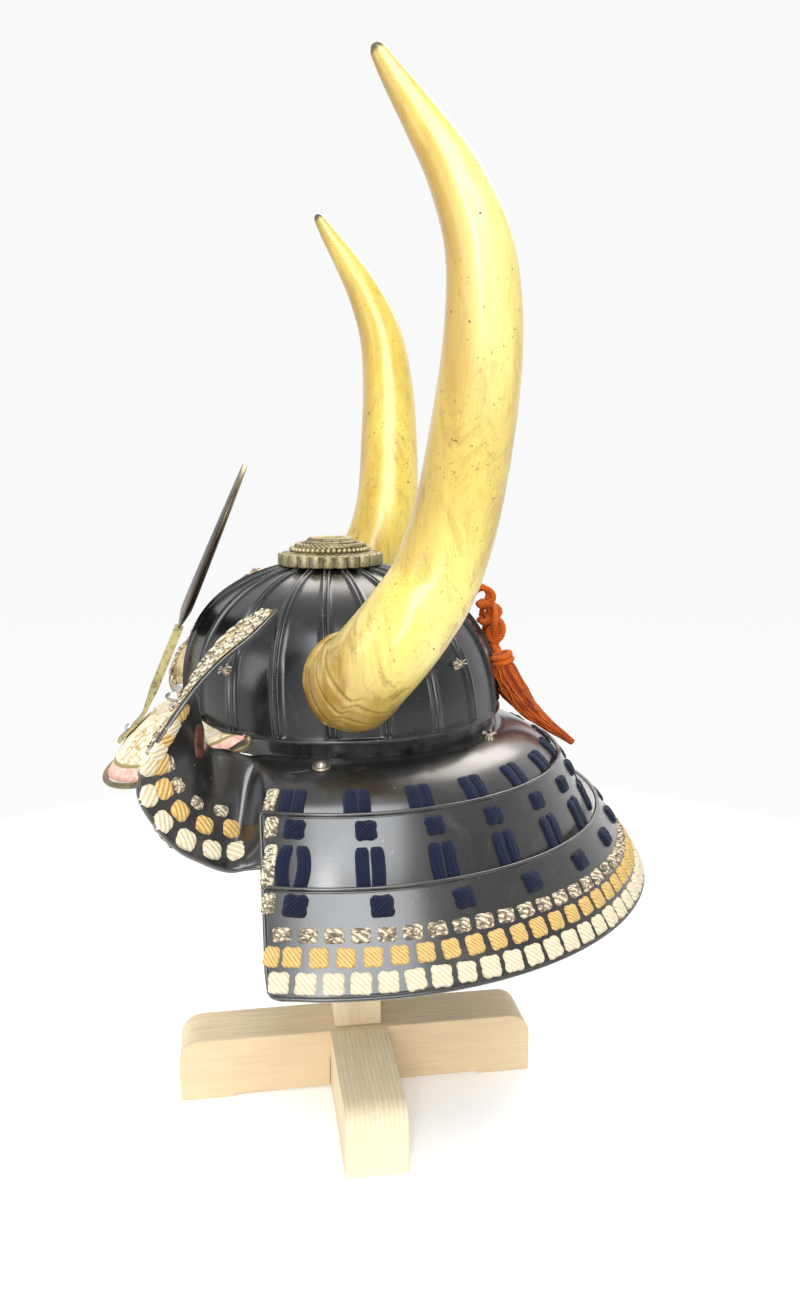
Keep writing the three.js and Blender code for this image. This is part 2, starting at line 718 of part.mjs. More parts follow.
// A thin foot on the peak, and an upright box that takes the crest.
function makeCrestHolder() {
  const { toe, heel, top, lean } = crestFrame();
  const upright = (height) => heel.clone().addScaledVector(lean, height);
  return stripAlong([
    { point: toe, thickness: PRONG_THICKNESS },
    { point: heel.clone().lerp(toe, 0.15), thickness: PRONG_THICKNESS },
    { point: upright(4), thickness: PRONG_THICKNESS },
    { point: upright(PRONG_HEIGHT * 0.35), thickness: SOCKET_THICKNESS },
    { point: top, thickness: SOCKET_THICKNESS },
  ], PRONG_WIDTH);
}

function makeHolderRivet() {
  const { toe, heel } = crestFrame();
  const normal = peakNormal(0, 0.55);
  const base = heel.clone().lerp(toe, 0.5).addScaledVector(normal, PRONG_THICKNESS / 2 + FIT);
  return dome(base, normal, PRONG_WIDTH * 0.24, 3.2);
}

// A crescent with its tips up, standing on its socket: ridged on both faces, thin at its edges.
function makeFrontCrest() {
  const { top, lean } = crestFrame();
  const ahead = vector(0, -Math.cos(CREST_LEAN * DEGREE), Math.sin(CREST_LEAN * DEGREE));
  const base = top.clone().addScaledVector(lean, FIT);
  const half = CREST_BODY_WIDTH / 2;
  const steps = 20;
  const rings = [];
  for (let i = 0; i <= steps; i += 1) {
    const angle = (90 + CREST_GAP + (i / steps) * (360 - 2 * CREST_GAP)) * DEGREE;
    const rise = (1 + Math.sin(angle)) / 2;
    const ridge = CREST_THICKNESS + (CREST_TIP_THICKNESS - CREST_THICKNESS) * rise;
    const at = (radius, lift, offset) => base.clone()
      .add(vector(radius * Math.cos(angle), 0, 0))
      .addScaledVector(lean, CREST_RADIUS + lift + radius * Math.sin(angle))
      .addScaledVector(ahead, offset);
    const inner = CREST_RADIUS - half;
    const edge = CREST_EDGE_THICKNESS / 2;
    rings.push([
      at(CREST_RADIUS, 0, edge),
      at(CREST_RADIUS - half / 2, half / 2, ridge / 2),
      at(inner, half, edge),
      at(inner, half, -edge),
      at(CREST_RADIUS - half / 2, half / 2, -ridge / 2),
      at(CREST_RADIUS, 0, -edge),
    ]);
  }
  return ringSolid(rings);
}

function hornCurve() {
  return new THREE.CatmullRomCurve3(HORN_LINE.map((row) => vector(
    BOWL_WIDTH / 2 + row.out * HORN_SPREAD,
    row.back * HORN_SWEEP,
    RIM_HEIGHT + HORN_BASE_HEIGHT + row.up * HORN_RISE,
  )), false, 'catmullrom');
}

function hornRadius(t) {
  const place = t * (HORN_LINE.length - 1);
  const i = Math.min(Math.floor(place), HORN_LINE.length - 2);
  const share = place - i;
  return HORN_BASE_RADIUS * (HORN_LINE[i].radius * (1 - share) + HORN_LINE[i + 1].radius * share);
}

function makeHorn() {
  const curve = hornCurve();
  const last = HORN_LINE.length - 1;
  const stations = [{ t: 0, cut: 0 }];
  [0.7, 1.3, 1.9].forEach((place) => {
    stations.push({ t: (place - 0.12) / last, cut: 0 });
    stations.push({ t: place / last, cut: HORN_GROOVE });
    stations.push({ t: (place + 0.12) / last, cut: 0 });
  });
  [2.6, 3.2, 3.8, 4.4, 5, 5.6, 6.3, 7, 7.8, 8.6, 9.4, 10.2, 11, 12, 13].forEach((place) => {
    stations.push({ t: place / last, cut: 0 });
  });
  let side = vector(0, 1, 0);
  const rings = stations.map(({ t, cut }) => {
    const direction = curve.getTangent(t);
    side = sideNear(side, direction);
    return crossRing(curve.getPoint(t), direction, side, hornRadius(t) - cut, HORN_SIDES);
  });
  const tip = curve.getPoint(1).addScaledVector(curve.getTangent(1), hornRadius(1) * 0.8);
  rings.push(crossRing(tip, curve.getTangent(1), side, hornRadius(1) * 0.35, HORN_SIDES));
  const horn = toManifold(ringSolid(rings));
  const keepOut = toManifold(bowlKeepOut(RIB_HEIGHT + FIT + 0.6));
  const hole = toManifold(hornPegShape(HORN_PEG_RADIUS + FIT, HORN_PEG_LENGTH + FIT));
  return fromManifold(horn.subtract(keepOut).subtract(hole));
}

// The peg's length counts from the bowl's side.
function hornPegShape(radius, length) {
  const z = RIM_HEIGHT + HORN_BASE_HEIGHT;
  const start = vector(BOWL_WIDTH / 2 - 20, 0, z);
  const end = vector(BOWL_WIDTH / 2 + length, 0, z + 2);
  return tubeAlong([start, end], radius, 8);
}

function makeHornPeg() {
  const bowlSide = toManifold(bowlKeepOut(FIT + 0.3));
  return fromManifold(toManifold(hornPegShape(HORN_PEG_RADIUS, HORN_PEG_LENGTH)).subtract(bowlSide));
}

// Neck guard edges, level by level, at the outer faces.
function guardEdge(width, drop, extra = 0) {
  const flare = (width - GUARD_TOP_WIDTH) / 2;
  return {
    halfWidth: width / 2 + extra,
    halfLength: GUARD_TOP_WIDTH / 2 + GUARD_TOP_LONGER + flare * GUARD_FLARE_RATIO + extra,
    z: RIM_HEIGHT - drop,
    centreY: GUARD_TOP_BACK - flare * GUARD_SHIFT_RATIO,
  };
}

function guardPoint(edge, angle) {
  return around(angle, edge.halfWidth, edge.halfLength, edge.z, edge.centreY);
}

// The angle at which an edge meets the guard's front end.
function frontAngle(edge, ahead = GUARD_FRONT) {
  const share = Math.min(Math.max((ahead + edge.centreY) / edge.halfLength, -0.98), 0.98);
  return Math.acos(share) / DEGREE;
}

function blendEdges(a, b, share) {
  const mix = (name) => a[name] + (b[name] - a[name]) * share;
  return {
    halfWidth: mix('halfWidth'),
    halfLength: mix('halfLength'),
    z: mix('z'),
    centreY: mix('centreY'),
  };
}

function lameSurface(top, bottom) {
  return (u, v) => {
    const edge = blendEdges(top, bottom, v);
    edge.halfWidth += Math.sin(v * Math.PI) * LAME_WALL * 0.8;
    edge.halfLength += Math.sin(v * Math.PI) * LAME_WALL * 0.8;
    return guardPoint(edge, 180 - u * (180 - frontAngle(edge)));
  };
}

function makeLame(top, bottom, rimBelow) {
  const depth = Math.hypot(bottom.halfWidth - top.halfWidth, bottom.z - top.z);
  const girth = Math.PI * top.halfWidth;
  const rimV = LAME_RIM_WIDTH / depth;
  const stepV = 0.8 / depth;
  const rimU = LAME_RIM_WIDTH / girth;
  const stepU = 0.8 / girth;
  const inner = 28;
  const across = [-1, -1 + rimU];
  for (let i = 0; i <= inner; i += 1) {
    across.push((-1 + (2 * i) / inner) * (1 - rimU - stepU));
  }
  across.push(1 - rimU, 1);
  const along = [0, rimV, rimV + stepV, 0.5];
  if (rimBelow) {
    along.push(1 - rimV - stepV, 1 - rimV);
  }
  along.push(1);
  const lastU = across.length - 1;
  const lastV = along.length - 1;
  const raised = (i, j) => i <= 1 || i >= lastU - 1 || j <= 1 || (rimBelow && j >= lastV - 1);
  return plate({
    surface: lameSurface(top, bottom),
    across,
    along,
    outer: (i, j) => (raised(i, j) ? LAME_RIM_HEIGHT : 0),
    inner: -LAME_WALL,
    innerRows: [0, 3, lastV],
  });
}

const topEdge = guardEdge(GUARD_TOP_WIDTH, GUARD_TOP_DROP);
const middleEdge = guardEdge(GUARD_MIDDLE_WIDTH, GUARD_MIDDLE_DROP);
const lowerEdge = guardEdge(GUARD_LOWER_WIDTH, GUARD_LOWER_DROP);
const hemEdge = guardEdge(GUARD_HEM_WIDTH, GUARD_HEM_DROP);

// Three rails of the top lame, from the right turnback's tip round the back to the left one's.
function topLameRails() {
  const under = LAME_WALL + LAME_RIM_HEIGHT + 3;
  const middle = guardEdge(GUARD_MIDDLE_WIDTH - 2 * under, GUARD_MIDDLE_DROP);
  const bottom = guardEdge(GUARD_MIDDLE_WIDTH + 2, GUARD_LOWER_DROP + 2);
  const left = [];
  const shares = [0.14, 0.3, 0.46, 0.62, 0.76, 0.89, 1];
  shares.forEach((share) => {
    left.push([topEdge, middle, bottom].map((edge) => (
      guardPoint(edge, 180 - share * (180 - frontAngle(edge, GUARD_FRONT - 8)))
    )));
  });
  TURNBACK_EDGES.forEach((row, i) => {
    const side = BOWL_WIDTH / 2;
    const base = RIM_HEIGHT - GUARD_LOWER_DROP - 2;
    const inside = vector(
      side + row.innerOut * TURNBACK_REACH,
      -row.innerAhead * TURNBACK_FORWARD,
      base + row.innerUp * TURNBACK_RISE,
    );
    const outside = vector(
      side + row.outerOut * TURNBACK_REACH,
      -row.outerAhead * TURNBACK_FORWARD,
      base + row.outerUp * TURNBACK_RISE,
    );
    const sag = TURNBACK_SAG[i];
    const between = inside.clone().lerp(outside, 0.5);
    between.y -= sag.back * TURNBACK_REACH;
    between.z -= sag.down * TURNBACK_REACH;
    left.push([inside, between, outside]);
  });
  const back = [topEdge, middle, bottom].map((edge) => guardPoint(edge, 180));
  const right = left.map((row) => row.map((point) => vector(-point.x, point.y, point.z))).reverse();
  const rows = [...right, back, ...left];
  return [0, 1, 2].map((k) => new THREE.CatmullRomCurve3(rows.map((row) => row[k]), false, 'catmullrom'));
}

const rails = topLameRails();
const railStations = TURNBACK_EDGES.length + 7;

function topLameSurface(u, v) {
  const t = (u + 1) / 2;
  const [a, b, c] = rails.map((rail) => rail.getPoint(t));
  return a.multiplyScalar(2 * (v - 0.5) * (v - 1))
    .addScaledVector(b, -4 * v * (v - 1))
    .addScaledVector(c, 2 * v * (v - 0.5));
}

// Stations along the top lame: finer on the turnbacks.
function topLameStations() {
  const stations = [0];
  for (let i = 1; i <= railStations; i += 1) {
    if (i > 10) {
      stations.push((i - 0.5) / railStations);
    }
    stations.push(i / railStations);
  }
  return stations;
}

function makeTopLame() {
  const stations = topLameStations();
  const across = [...stations.slice(1).map((u) => -u).reverse(), ...stations];
  const depth = GUARD_LOWER_DROP - GUARD_TOP_DROP + TURNBACK_REACH * 0.4;
  const rimV = LAME_RIM_WIDTH / depth;
  const along = [0, 0.25, 0.5, 0.75, 1 - rimV - 0.8 / depth, 1 - rimV, 1];
  const lastV = along.length - 1;
  return plate({
    surface: topLameSurface,
    across,
    along,
    outer: (i, j) => (j >= lastV - 1 ? LAME_RIM_HEIGHT : 0),
    inner: -LAME_WALL,
    innerRows: [0, 1, 2, 3, lastV],
  });
}

// The leather lies on the turnback's inner face and shares its stations.
function makeTurnbackLeather() {
  const first = (railStations - TURNBACK_EDGES.length + 3) / railStations;
  const across = topLameStations().filter((u) => u >= first - 1e-6);
  across[across.length - 1] = 1 - 0.12 / railStations;
  const stand = LAME_WALL + LEATHER_GAP;
  return plate({
    surface: topLameSurface,
    across,
    along: [0.05, 0.25, 0.5, 0.75, 0.95],
    outer: () => -stand,
    inner: -stand - LEATHER_THICKNESS,
    innerRows: [0, 1, 2, 3, 4],
  });
}

function makeStud() {
  const u = STUD_PLACE / railStations;
  const v = 0.1;
  const step = 1e-3;
  const du = topLameSurface(u + step, v).sub(topLameSurface(u - step, v));
  const dv = topLameSurface(u, v + step).sub(topLameSurface(u, v - step));
  const normal = du.cross(dv).normalize();
  return dome(topLameSurface(u, v).addScaledVector(normal, FIT), normal, STUD_RADIUS, STUD_HEIGHT);
}

// The post stands on the bowl's back and the ring hangs in its eye.
function rearMount() {
  const u = 0.74;
  const step = 1e-3;
  const base = bowlPoint(180, u, 0);
  const up = bowlPoint(180, u + step, 0).sub(bowlPoint(180, u - step, 0)).normalize();
  const normal = vector(0, up.z, -up.y).normalize();
  return { base, normal, eye: base.clone().addScaledVector(normal, RING_POST_LENGTH * 0.62) };
}

function makeRearPost() {
  const { base, normal, eye } = rearMount();
  const rows = [[0.5, 1.9], [1.8, 1.9], [2.4, 1], [RING_POST_LENGTH - 1, 1], [RING_POST_LENGTH, 0.6]];
  const post = ringSolid(rows.map(([up, share]) => crossRing(
    base.clone().addScaledVector(normal, up),
    normal,
    vector(1, 0, 0),
    RING_POST_RADIUS * share,
    10,
  )));
  const side = vector(RING_POST_RADIUS * 2, 0, 0);
  const bore = sweep({
    points: [eye.clone().sub(side), eye.clone().add(side)],
    radiusAt: () => RING_TUBE + RING_SLACK,
    sides: 8,
    firstSide: vector(0, 1, 0),
  });
  return fromManifold(toManifold(post).subtract(toManifold(bore)));
}

// The ring lies along the bowl below its post; its lowest point carries the bow.
function ringFrame() {
  const { eye } = rearMount();
  const hang = vector(0, Math.cos(RING_HANG * DEGREE), -Math.sin(RING_HANG * DEGREE));
  const centre = eye.clone().addScaledVector(hang, RING_RADIUS);
  return { hang, centre, low: centre.clone().addScaledVector(hang, RING_RADIUS) };
}

function makeRearRing() {
  const geometry = new THREE.TorusGeometry(RING_RADIUS, RING_TUBE, 5, 18);
  geometry.rotateX(-RING_HANG * DEGREE);
  const { centre } = ringFrame();
  geometry.translate(centre.x, centre.y, centre.z);
  return fromManifold(toManifold(geometry));
}

function cordTube(points, radius = CORD_RADIUS, pieces = 7) {
  const curve = new THREE.CatmullRomCurve3(points, false, 'catmullrom');
  return tubeAlong(curve.getPoints(pieces), radius, 6);
}

// The bow's centre line runs down the bowl's back from the ring to the tassels.
function bowPoint(across, back, down) {
  const { low } = ringFrame();
  return vector(across, low.y + back * BOW_BACK, low.z + 6 - down * BOW_DROP);
}

// The bow: a loop round the ring, a knotted body, two side loops and two tails.
function makeRearBow() {
  const { low } = ringFrame();
  const body = bowPoint(0, 0.66, 0.12);
  const reach = RING_TUBE + CORD_RADIUS * 0.8 + RING_SLACK;
  const heading = body.clone().sub(low).normalize();
  const square = vector(0, -heading.z, heading.y);
  const loop = [
    low.clone().addScaledVector(heading, -reach),
    low.clone().addScaledVector(heading, -reach * 0.6).addScaledVector(square, reach * 0.8),
    low.clone().addScaledVector(heading, reach * 0.5).addScaledVector(square, reach),
    body,
    low.clone().addScaledVector(heading, reach * 0.5).addScaledVector(square, -reach),
    low.clone().addScaledVector(heading, -reach * 0.6).addScaledVector(square, -reach * 0.8),
  ];
  const parts = [sweep({
    points: loop,
    radiusAt: () => CORD_RADIUS * 0.8,
    sides: 6,
    firstSide: vector(1, 0, 0),
    closed: true,
  })];
  [0, 1, 2].forEach((k) => {
    const ball = new THREE.SphereGeometry(BOW_LUMP_RADIUS, 8, 5);
    ball.scale(1.25, 1, 1.12);
    const middle = bowPoint(0, 0.66 + 0.13 * k, 0.12 + 0.28 * k);
    ball.translate(middle.x, middle.y, middle.z);
    parts.push(ball);
  });
  [-1, 1].forEach((side) => {
    parts.push(cordTube([
      bowPoint(side * 2, 0.78, 0.3),
      bowPoint(side * BOW_SPREAD * 0.75, 0.7, 0.12),
      bowPoint(side * BOW_SPREAD, 0.68, 0.36),
      bowPoint(side * BOW_SPREAD * 0.7, 0.72, 0.55),
      bowPoint(side * 2, 0.8, 0.42),
    ]));
    parts.push(cordTube([
      bowPoint(side * 3, 0.9, 0.7),
      bowPoint(side * TASSEL_SPACING * 0.35, 0.96, 0.86),
      bowPoint(side * TASSEL_SPACING / 2, 1, 1),
    ], CORD_RADIUS, 4));
  });
  return fromManifold(parts.map(toManifold).reduce((all, part) => all.add(part)));
}

// A tassel lies down the guard's back slope: a wrapped head and a skirt of locks.
function makeTassel() {
  const direction = vector(0, Math.cos(TASSEL_SLOPE * DEGREE), -Math.sin(TASSEL_SLOPE * DEGREE));
  const top = bowPoint(TASSEL_SPACING / 2, 1, 1).addScaledVector(direction, CORD_RADIUS + FIT);
  const rows = [
    { along: 0, radius: 0.5, lock: 0 },
    { along: 0.02, radius: 0.72, lock: 0 },
    { along: 0.12, radius: 0.74, lock: 0 },
    { along: 0.14, radius: 0.66, lock: 0.02 },
    { along: 0.3, radius: 0.98, lock: 0.1 },
    { along: 0.5, radius: 0.96, lock: 0.13 },
    { along: 0.75, radius: 0.64, lock: 0.12 },
    { along: 1, radius: 0.3, lock: 0.06 },
  ];
  const rings = rows.map((row) => {
    const centre = top.clone().addScaledVector(direction, row.along * TASSEL_LENGTH);
    const ring = crossRing(centre, direction, vector(1, 0, 0), 1, TASSEL_LOCKS * 2);
    return ring.map((point, i) => {
      const radius = TASSEL_RADIUS * (row.radius - (i % 2 === 0 ? 0 : row.lock));
      return centre.clone().addScaledVector(point.clone().sub(centre), radius);
    });
  });
  return ringSolid(rings);
}

// A beam along X or Y: rounded top ends, a recess between its feet, and half the joint.
function makeBeam(alongX, length, lapAbove) {
  const shape = new THREE.Shape();
  const half = length / 2;
  const round = Math.min(BEAM_ROUND, BEAM_HEIGHT * 0.6);
  const foot = half - FOOT_LENGTH;
  shape.moveTo(-half, 0);
  shape.lineTo(-foot, 0);
  shape.lineTo(-foot, BEAM_RECESS);
  shape.lineTo(foot, BEAM_RECESS);
  shape.lineTo(foot, 0);
  shape.lineTo(half, 0);
  shape.lineTo(half, BEAM_HEIGHT - round);
  const arc = 5;
  for (let i = 1; i <= arc; i += 1) {
    const angle = (i / arc) * 90 * DEGREE;
    shape.lineTo(half - round + round * Math.cos(angle), BEAM_HEIGHT - round + round * Math.sin(angle));
  }
  for (let i = 0; i <= arc; i += 1) {
    const angle = (90 + (i / arc) * 90) * DEGREE;
    shape.lineTo(-half + round + round * Math.cos(angle), BEAM_HEIGHT - round + round * Math.sin(angle));
  }
  shape.closePath();
  const geometry = new THREE.ExtrudeGeometry(shape, { depth: BEAM_WIDTH, bevelEnabled: false });
  geometry.translate(0, 0, -BEAM_WIDTH / 2);
  geometry.rotateX(Math.PI / 2);
  if (!alongX) {
    geometry.rotateZ(Math.PI / 2);
  }
  const middle = (BEAM_HEIGHT + BEAM_RECESS) / 2;
  const notchWidth = BEAM_WIDTH + 2 * FIT;
  const notchHeight = BEAM_HEIGHT;
  const notchZ = lapAbove ? middle - FIT / 2 + notchHeight / 2 : middle + FIT / 2 - notchHeight / 2;
  const notch = alongX
    ? box(notchWidth, BEAM_WIDTH * 2, notchHeight, vector(0, 0, notchZ))
    : box(BEAM_WIDTH * 2, notchWidth, notchHeight, vector(0, 0, notchZ));
  const beam = toManifold(geometry).subtract(toManifold(notch));
  const placed = fromManifold(beam);
  placed.translate(0, STAND_CENTRE_Y, 0);
  return placed;
}

function headBottom() {
  return RIM_HEIGHT + BOWL_HEIGHT - BOWL_WALL - HEAD_DEPTH;
}

function makePost() {
  const bottom = BEAM_HEIGHT + FIT;
  const top = headBottom() - FIT;
  return box(POST_WIDTH, POST_WIDTH, top - bottom, vector(0, STAND_CENTRE_Y, (top + bottom) / 2));
}

// A block under the crown, shaped to the bowl's inside.
function makeStandHead() {
  const block = new THREE.CylinderGeometry(HEAD_RADIUS, HEAD_RADIUS * 0.94, HEAD_DEPTH + 20, 20);
  block.rotateX(Math.PI / 2);
  block.translate(0, STAND_CENTRE_Y - BOWL_LEAN, headBottom() + (HEAD_DEPTH + 20) / 2);
  const inside = bowlSolid({
    offset: -BOWL_WALL - FIT - 1.2,
    columns: 32,
    bottom: RIM_HEIGHT,
    rows: BOWL_COARSE_LEVELS,
    top: 0.97,
  });
  return fromManifold(toManifold(block).intersect(toManifold(inside)));
}

const MATERIALS = {
  lacquer: { color: '#1b1c1f', roughness: 0.36, metalness: 0.2 },
  lacquerGrey: { color: '#26272a', roughness: 0.42, metalness: 0.2 },
  bronze: { color: '#8c8466', roughness: 0.5, metalness: 0.85 },
  brass: { color: '#9a8f5c', roughness: 0.45, metalness: 0.85 },
  crestMetal: { color: '#5b5247', roughness: 0.4, metalness: 0.9 },
  darkBrass: { color: '#6d6548', roughness: 0.5, metalness: 0.8 },
  rivet: { color: '#8f9092', roughness: 0.4, metalness: 0.85 },
  leather: { color: '#e3d3a6', roughness: 0.7, metalness: 0 },
  horn: { color: '#d9b94a', roughness: 0.38, metalness: 0 },
  orange: { color: '#d8490f', roughness: 0.85, metalness: 0 },
  wood: { color: '#efdcb8', roughness: 0.65, metalness: 0 },
  woodHidden: { color: '#d9c39a', roughness: 0.75, metalness: 0 },
};

const group = new THREE.Group();

function addPiece(name, geometry, look) {
  geometry.deleteAttribute('normal');
  geometry.deleteAttribute('uv');
  geometry.computeVertexNormals();
  const material = new THREE.MeshStandardMaterial(MATERIALS[look]);
  const mesh = new THREE.Mesh(geometry, material);
  mesh.name = name;
  group.add(mesh);
}

function addPair(name, geometry, look) {
  addPiece(`${name}_left`, geometry, look);
  addPiece(`${name}_right`, mirrored(geometry), look);
}

addPiece('bowl', makeBowl(), 'lacquer');
addPiece('base_band', makeBand(), 'lacquerGrey');
addPiece('crown_plate', makeCrownPlate(), 'bronze');
addPiece('crown_rope_ring', makeCrownRopeRing(), 'bronze');
addPiece('crown_collar', makeCrownCollar(), 'bronze');
addPiece('peak', makePeak(), 'leather');
addPiece('peak_rim', makePeakRim(), 'darkBrass');
addPiece('peak_rivet_middle', makePeakRivet(0), 'rivet');
addPiece('peak_rivet_left', makePeakRivet(1), 'rivet');
addPiece('peak_rivet_right', makePeakRivet(-1), 'rivet');
addPiece('crest_holder', makeCrestHolder(), 'brass');
addPiece('holder_rivet', makeHolderRivet(), 'rivet');
addPiece('front_crest', makeFrontCrest(), 'crestMetal');
addPair('horn', makeHorn(), 'horn');
addPair('horn_peg', makeHornPeg(), 'lacquerGrey');
addPiece('lame_1', makeTopLame(), 'lacquerGrey');
addPair('turnback_leather', makeTurnbackLeather(), 'leather');
addPiece('lame_2', makeLame(middleEdge, guardEdge(
  GUARD_LOWER_WIDTH - 6,
  GUARD_LOWER_DROP + LAME_HIDDEN_DROP,
), false), 'lacquerGrey');
addPiece('lame_3', makeLame(lowerEdge, hemEdge, true), 'lacquerGrey');
addPair('guard_stud', makeStud(), 'brass');
addPiece('rear_post', makeRearPost(), 'brass');
addPiece('rear_ring', makeRearRing(), 'brass');
addPiece('rear_bow', makeRearBow(), 'orange');
addPair('tassel', makeTassel(), 'orange');
addPiece('stand_side_beam', makeBeam(true, SIDE_BEAM_LENGTH, true), 'wood');
addPiece('stand_front_beam', makeBeam(false, FRONT_BEAM_LENGTH, false), 'wood');
addPiece('stand_post', makePost(), 'wood');
addPiece('stand_head', makeStandHead(), 'woodHidden');

// The origin is moved to the middle of the bounding box, on the floor.
const extent = new THREE.Box3().setFromObject(group);
group.children.forEach((mesh) => {
  mesh.geometry.translate(-(extent.min.x + extent.max.x) / 2, -(extent.min.y + extent.max.y) / 2, -extent.min.z);
});

export default group;
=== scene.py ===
import json
import math
import random
import bmesh
import bpy
from mathutils import Matrix, Vector
from mathutils.bvhtree import BVHTree

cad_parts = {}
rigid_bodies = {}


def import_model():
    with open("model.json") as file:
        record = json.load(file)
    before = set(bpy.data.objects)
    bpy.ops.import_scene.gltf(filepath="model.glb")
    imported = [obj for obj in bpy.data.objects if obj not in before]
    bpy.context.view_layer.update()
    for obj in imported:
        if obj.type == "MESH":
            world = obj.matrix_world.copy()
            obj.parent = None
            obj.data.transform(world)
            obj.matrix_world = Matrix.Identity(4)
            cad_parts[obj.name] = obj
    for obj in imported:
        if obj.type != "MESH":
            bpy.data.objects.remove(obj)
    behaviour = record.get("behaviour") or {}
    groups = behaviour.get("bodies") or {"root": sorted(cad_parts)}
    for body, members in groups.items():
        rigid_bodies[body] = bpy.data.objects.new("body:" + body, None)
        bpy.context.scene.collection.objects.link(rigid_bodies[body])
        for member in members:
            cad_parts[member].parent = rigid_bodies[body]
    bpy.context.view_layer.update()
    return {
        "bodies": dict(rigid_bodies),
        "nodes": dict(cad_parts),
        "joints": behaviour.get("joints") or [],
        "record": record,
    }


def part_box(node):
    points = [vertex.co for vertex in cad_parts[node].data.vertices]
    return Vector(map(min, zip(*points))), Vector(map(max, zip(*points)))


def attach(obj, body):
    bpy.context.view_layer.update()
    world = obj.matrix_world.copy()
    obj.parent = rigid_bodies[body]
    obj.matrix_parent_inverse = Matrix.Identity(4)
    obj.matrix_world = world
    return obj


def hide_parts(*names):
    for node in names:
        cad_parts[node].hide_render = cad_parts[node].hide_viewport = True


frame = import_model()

random.seed(11)

# Sizes in millimetres, as in the model. The front looks towards -Y, the wearer's left is +X.
MM = 0.001
BOWL_LENGTH = 256
BOWL_WIDTH = 254
BOWL_HEIGHT = 115.7
BOWL_LEAN = 9.3
BOWL_ROUND_UP = 2.6
BOWL_ROUND_OUT = 2.08
BOWL_WALL = 2.4
PLATE_COUNT = 20
RIB_HEIGHT = 2.2
RIM_BEAD = 1.8
RIM_BEAD_DEPTH = 4
RIM_HEIGHT = 337
FIT = 0.35
CROWN_PLATE_RADIUS = 42.6
CROWN_PLATE_EDGE = 9
CROWN_PLATE_RISE = 2.6
CROWN_PETALS = 24
CROWN_HOLE_RADIUS = 15
PEAK_HALF_ANGLE = 52
PEAK_REACH = 60
PEAK_DROP = 54
PEAK_HALF_WIDTH = 104
PEAK_FLANGE = 12
PEAK_END_DEPTH = 8
PEAK_WALL = 2
PEAK_RIM_TUBE = 2.1
HORN_BASE_HEIGHT = 40
HORN_RISE = 395
HORN_SPREAD = 87
HORN_SWEEP = 68
HORN_BASE_RADIUS = 38
LAME_WALL = 1.6
LAME_RIM_HEIGHT = 1.3
GUARD_FRONT = 75
GUARD_TOP_WIDTH = 243
GUARD_MIDDLE_WIDTH = 351
GUARD_LOWER_WIDTH = 418
GUARD_HEM_WIDTH = 500
GUARD_TOP_DROP = 15.5
GUARD_MIDDLE_DROP = 38
GUARD_LOWER_DROP = 77
GUARD_HEM_DROP = 135
LAME_HIDDEN_DROP = 14
TURNBACK_REACH = 78
TURNBACK_FORWARD = 151
TURNBACK_RISE = 178
STAND_CENTRE_Y = 7.3

# The model's origin is the middle of its bounding box: the post shows how far that moved it.
post_low, post_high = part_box("stand_post")
SHIFT = (post_low[1] + post_high[1]) / 2 / MM - STAND_CENTRE_Y

# Stations of the horn's middle line from inside the bowl: shares of its spread, sweep, rise and base radius.
HORN_LINE = [
    (-0.12, -0.06, 0.0, 1.0), (-0.02, -0.03, 0.006, 0.92), (0.11, 0.054, 0.029, 0.876),
    (0.24, 0.216, 0.069, 0.855), (0.29, 0.45, 0.123, 0.837), (0.27, 0.71, 0.192, 0.803),
    (0.371, 0.891, 0.299, 0.766), (0.64, 0.971, 0.443, 0.718), (0.863, 0.996, 0.584, 0.645),
    (0.983, 0.919, 0.706, 0.547), (1.002, 0.7, 0.804, 0.434), (0.979, 0.44, 0.877, 0.321),
    (0.954, 0.165, 0.945, 0.197), (0.945, -0.049, 1.0, 0.08),
]
# The turnback's inner and outer edge: shares of its reach, its way forward and its rise.
TURNBACK_EDGES = [
    (-0.22, 0.53, 0.37, 0.513, 0.627, 0.006), (-0.18, 0.629, 0.404, 0.603, 0.756, 0.065),
    (-0.154, 0.713, 0.425, 0.664, 0.859, 0.134), (-0.141, 0.737, 0.509, 0.688, 0.959, 0.251),
    (-0.128, 0.753, 0.581, 0.66, 1.01, 0.364), (-0.115, 0.765, 0.635, 0.593, 0.952, 0.495),
    (-0.103, 0.763, 0.684, 0.508, 0.874, 0.589), (-0.077, 0.719, 0.749, 0.422, 0.761, 0.706),
    (-0.06, 0.65, 0.825, 0.346, 0.637, 0.807), (0.0, 0.54, 0.91, 0.276, 0.495, 0.896),
    (0.1, 0.425, 0.98, 0.186, 0.38, 0.985),
]
# How far the turnback bulges down and ahead between its edges, as shares of its reach.
TURNBACK_SAG = [
    (0.12, -0.02), (0.13, -0.06), (0.12, -0.1), (0.1, -0.13), (0.07, -0.13), (0.04, -0.1),
    (0.02, -0.06), (0.01, -0.03), (0.0, -0.02), (0.0, -0.01), (0.0, 0.0),
]
# The peak's section: share of the way from root to rim, share outwards, share of the drop.
PEAK_SECTION = [
    (0.0, 0.0, 0.0), (0.14, 0.04, -0.04), (0.42, 0.42, 0.13), (0.72, 0.73, 0.47), (1.0, 1.0, 1.0),
]

SIDES = ((1, "left"), (-1, "right"))


def place(p):
    """A point of the helmet in millimetres, as a point of the frame in metres. unplace is the way back."""
    return Vector((p[0] * MM, (p[1] + SHIFT) * MM, p[2] * MM))


def unplace(p):
    return Vector((p[0] / MM, p[1] / MM - SHIFT, p[2] / MM))


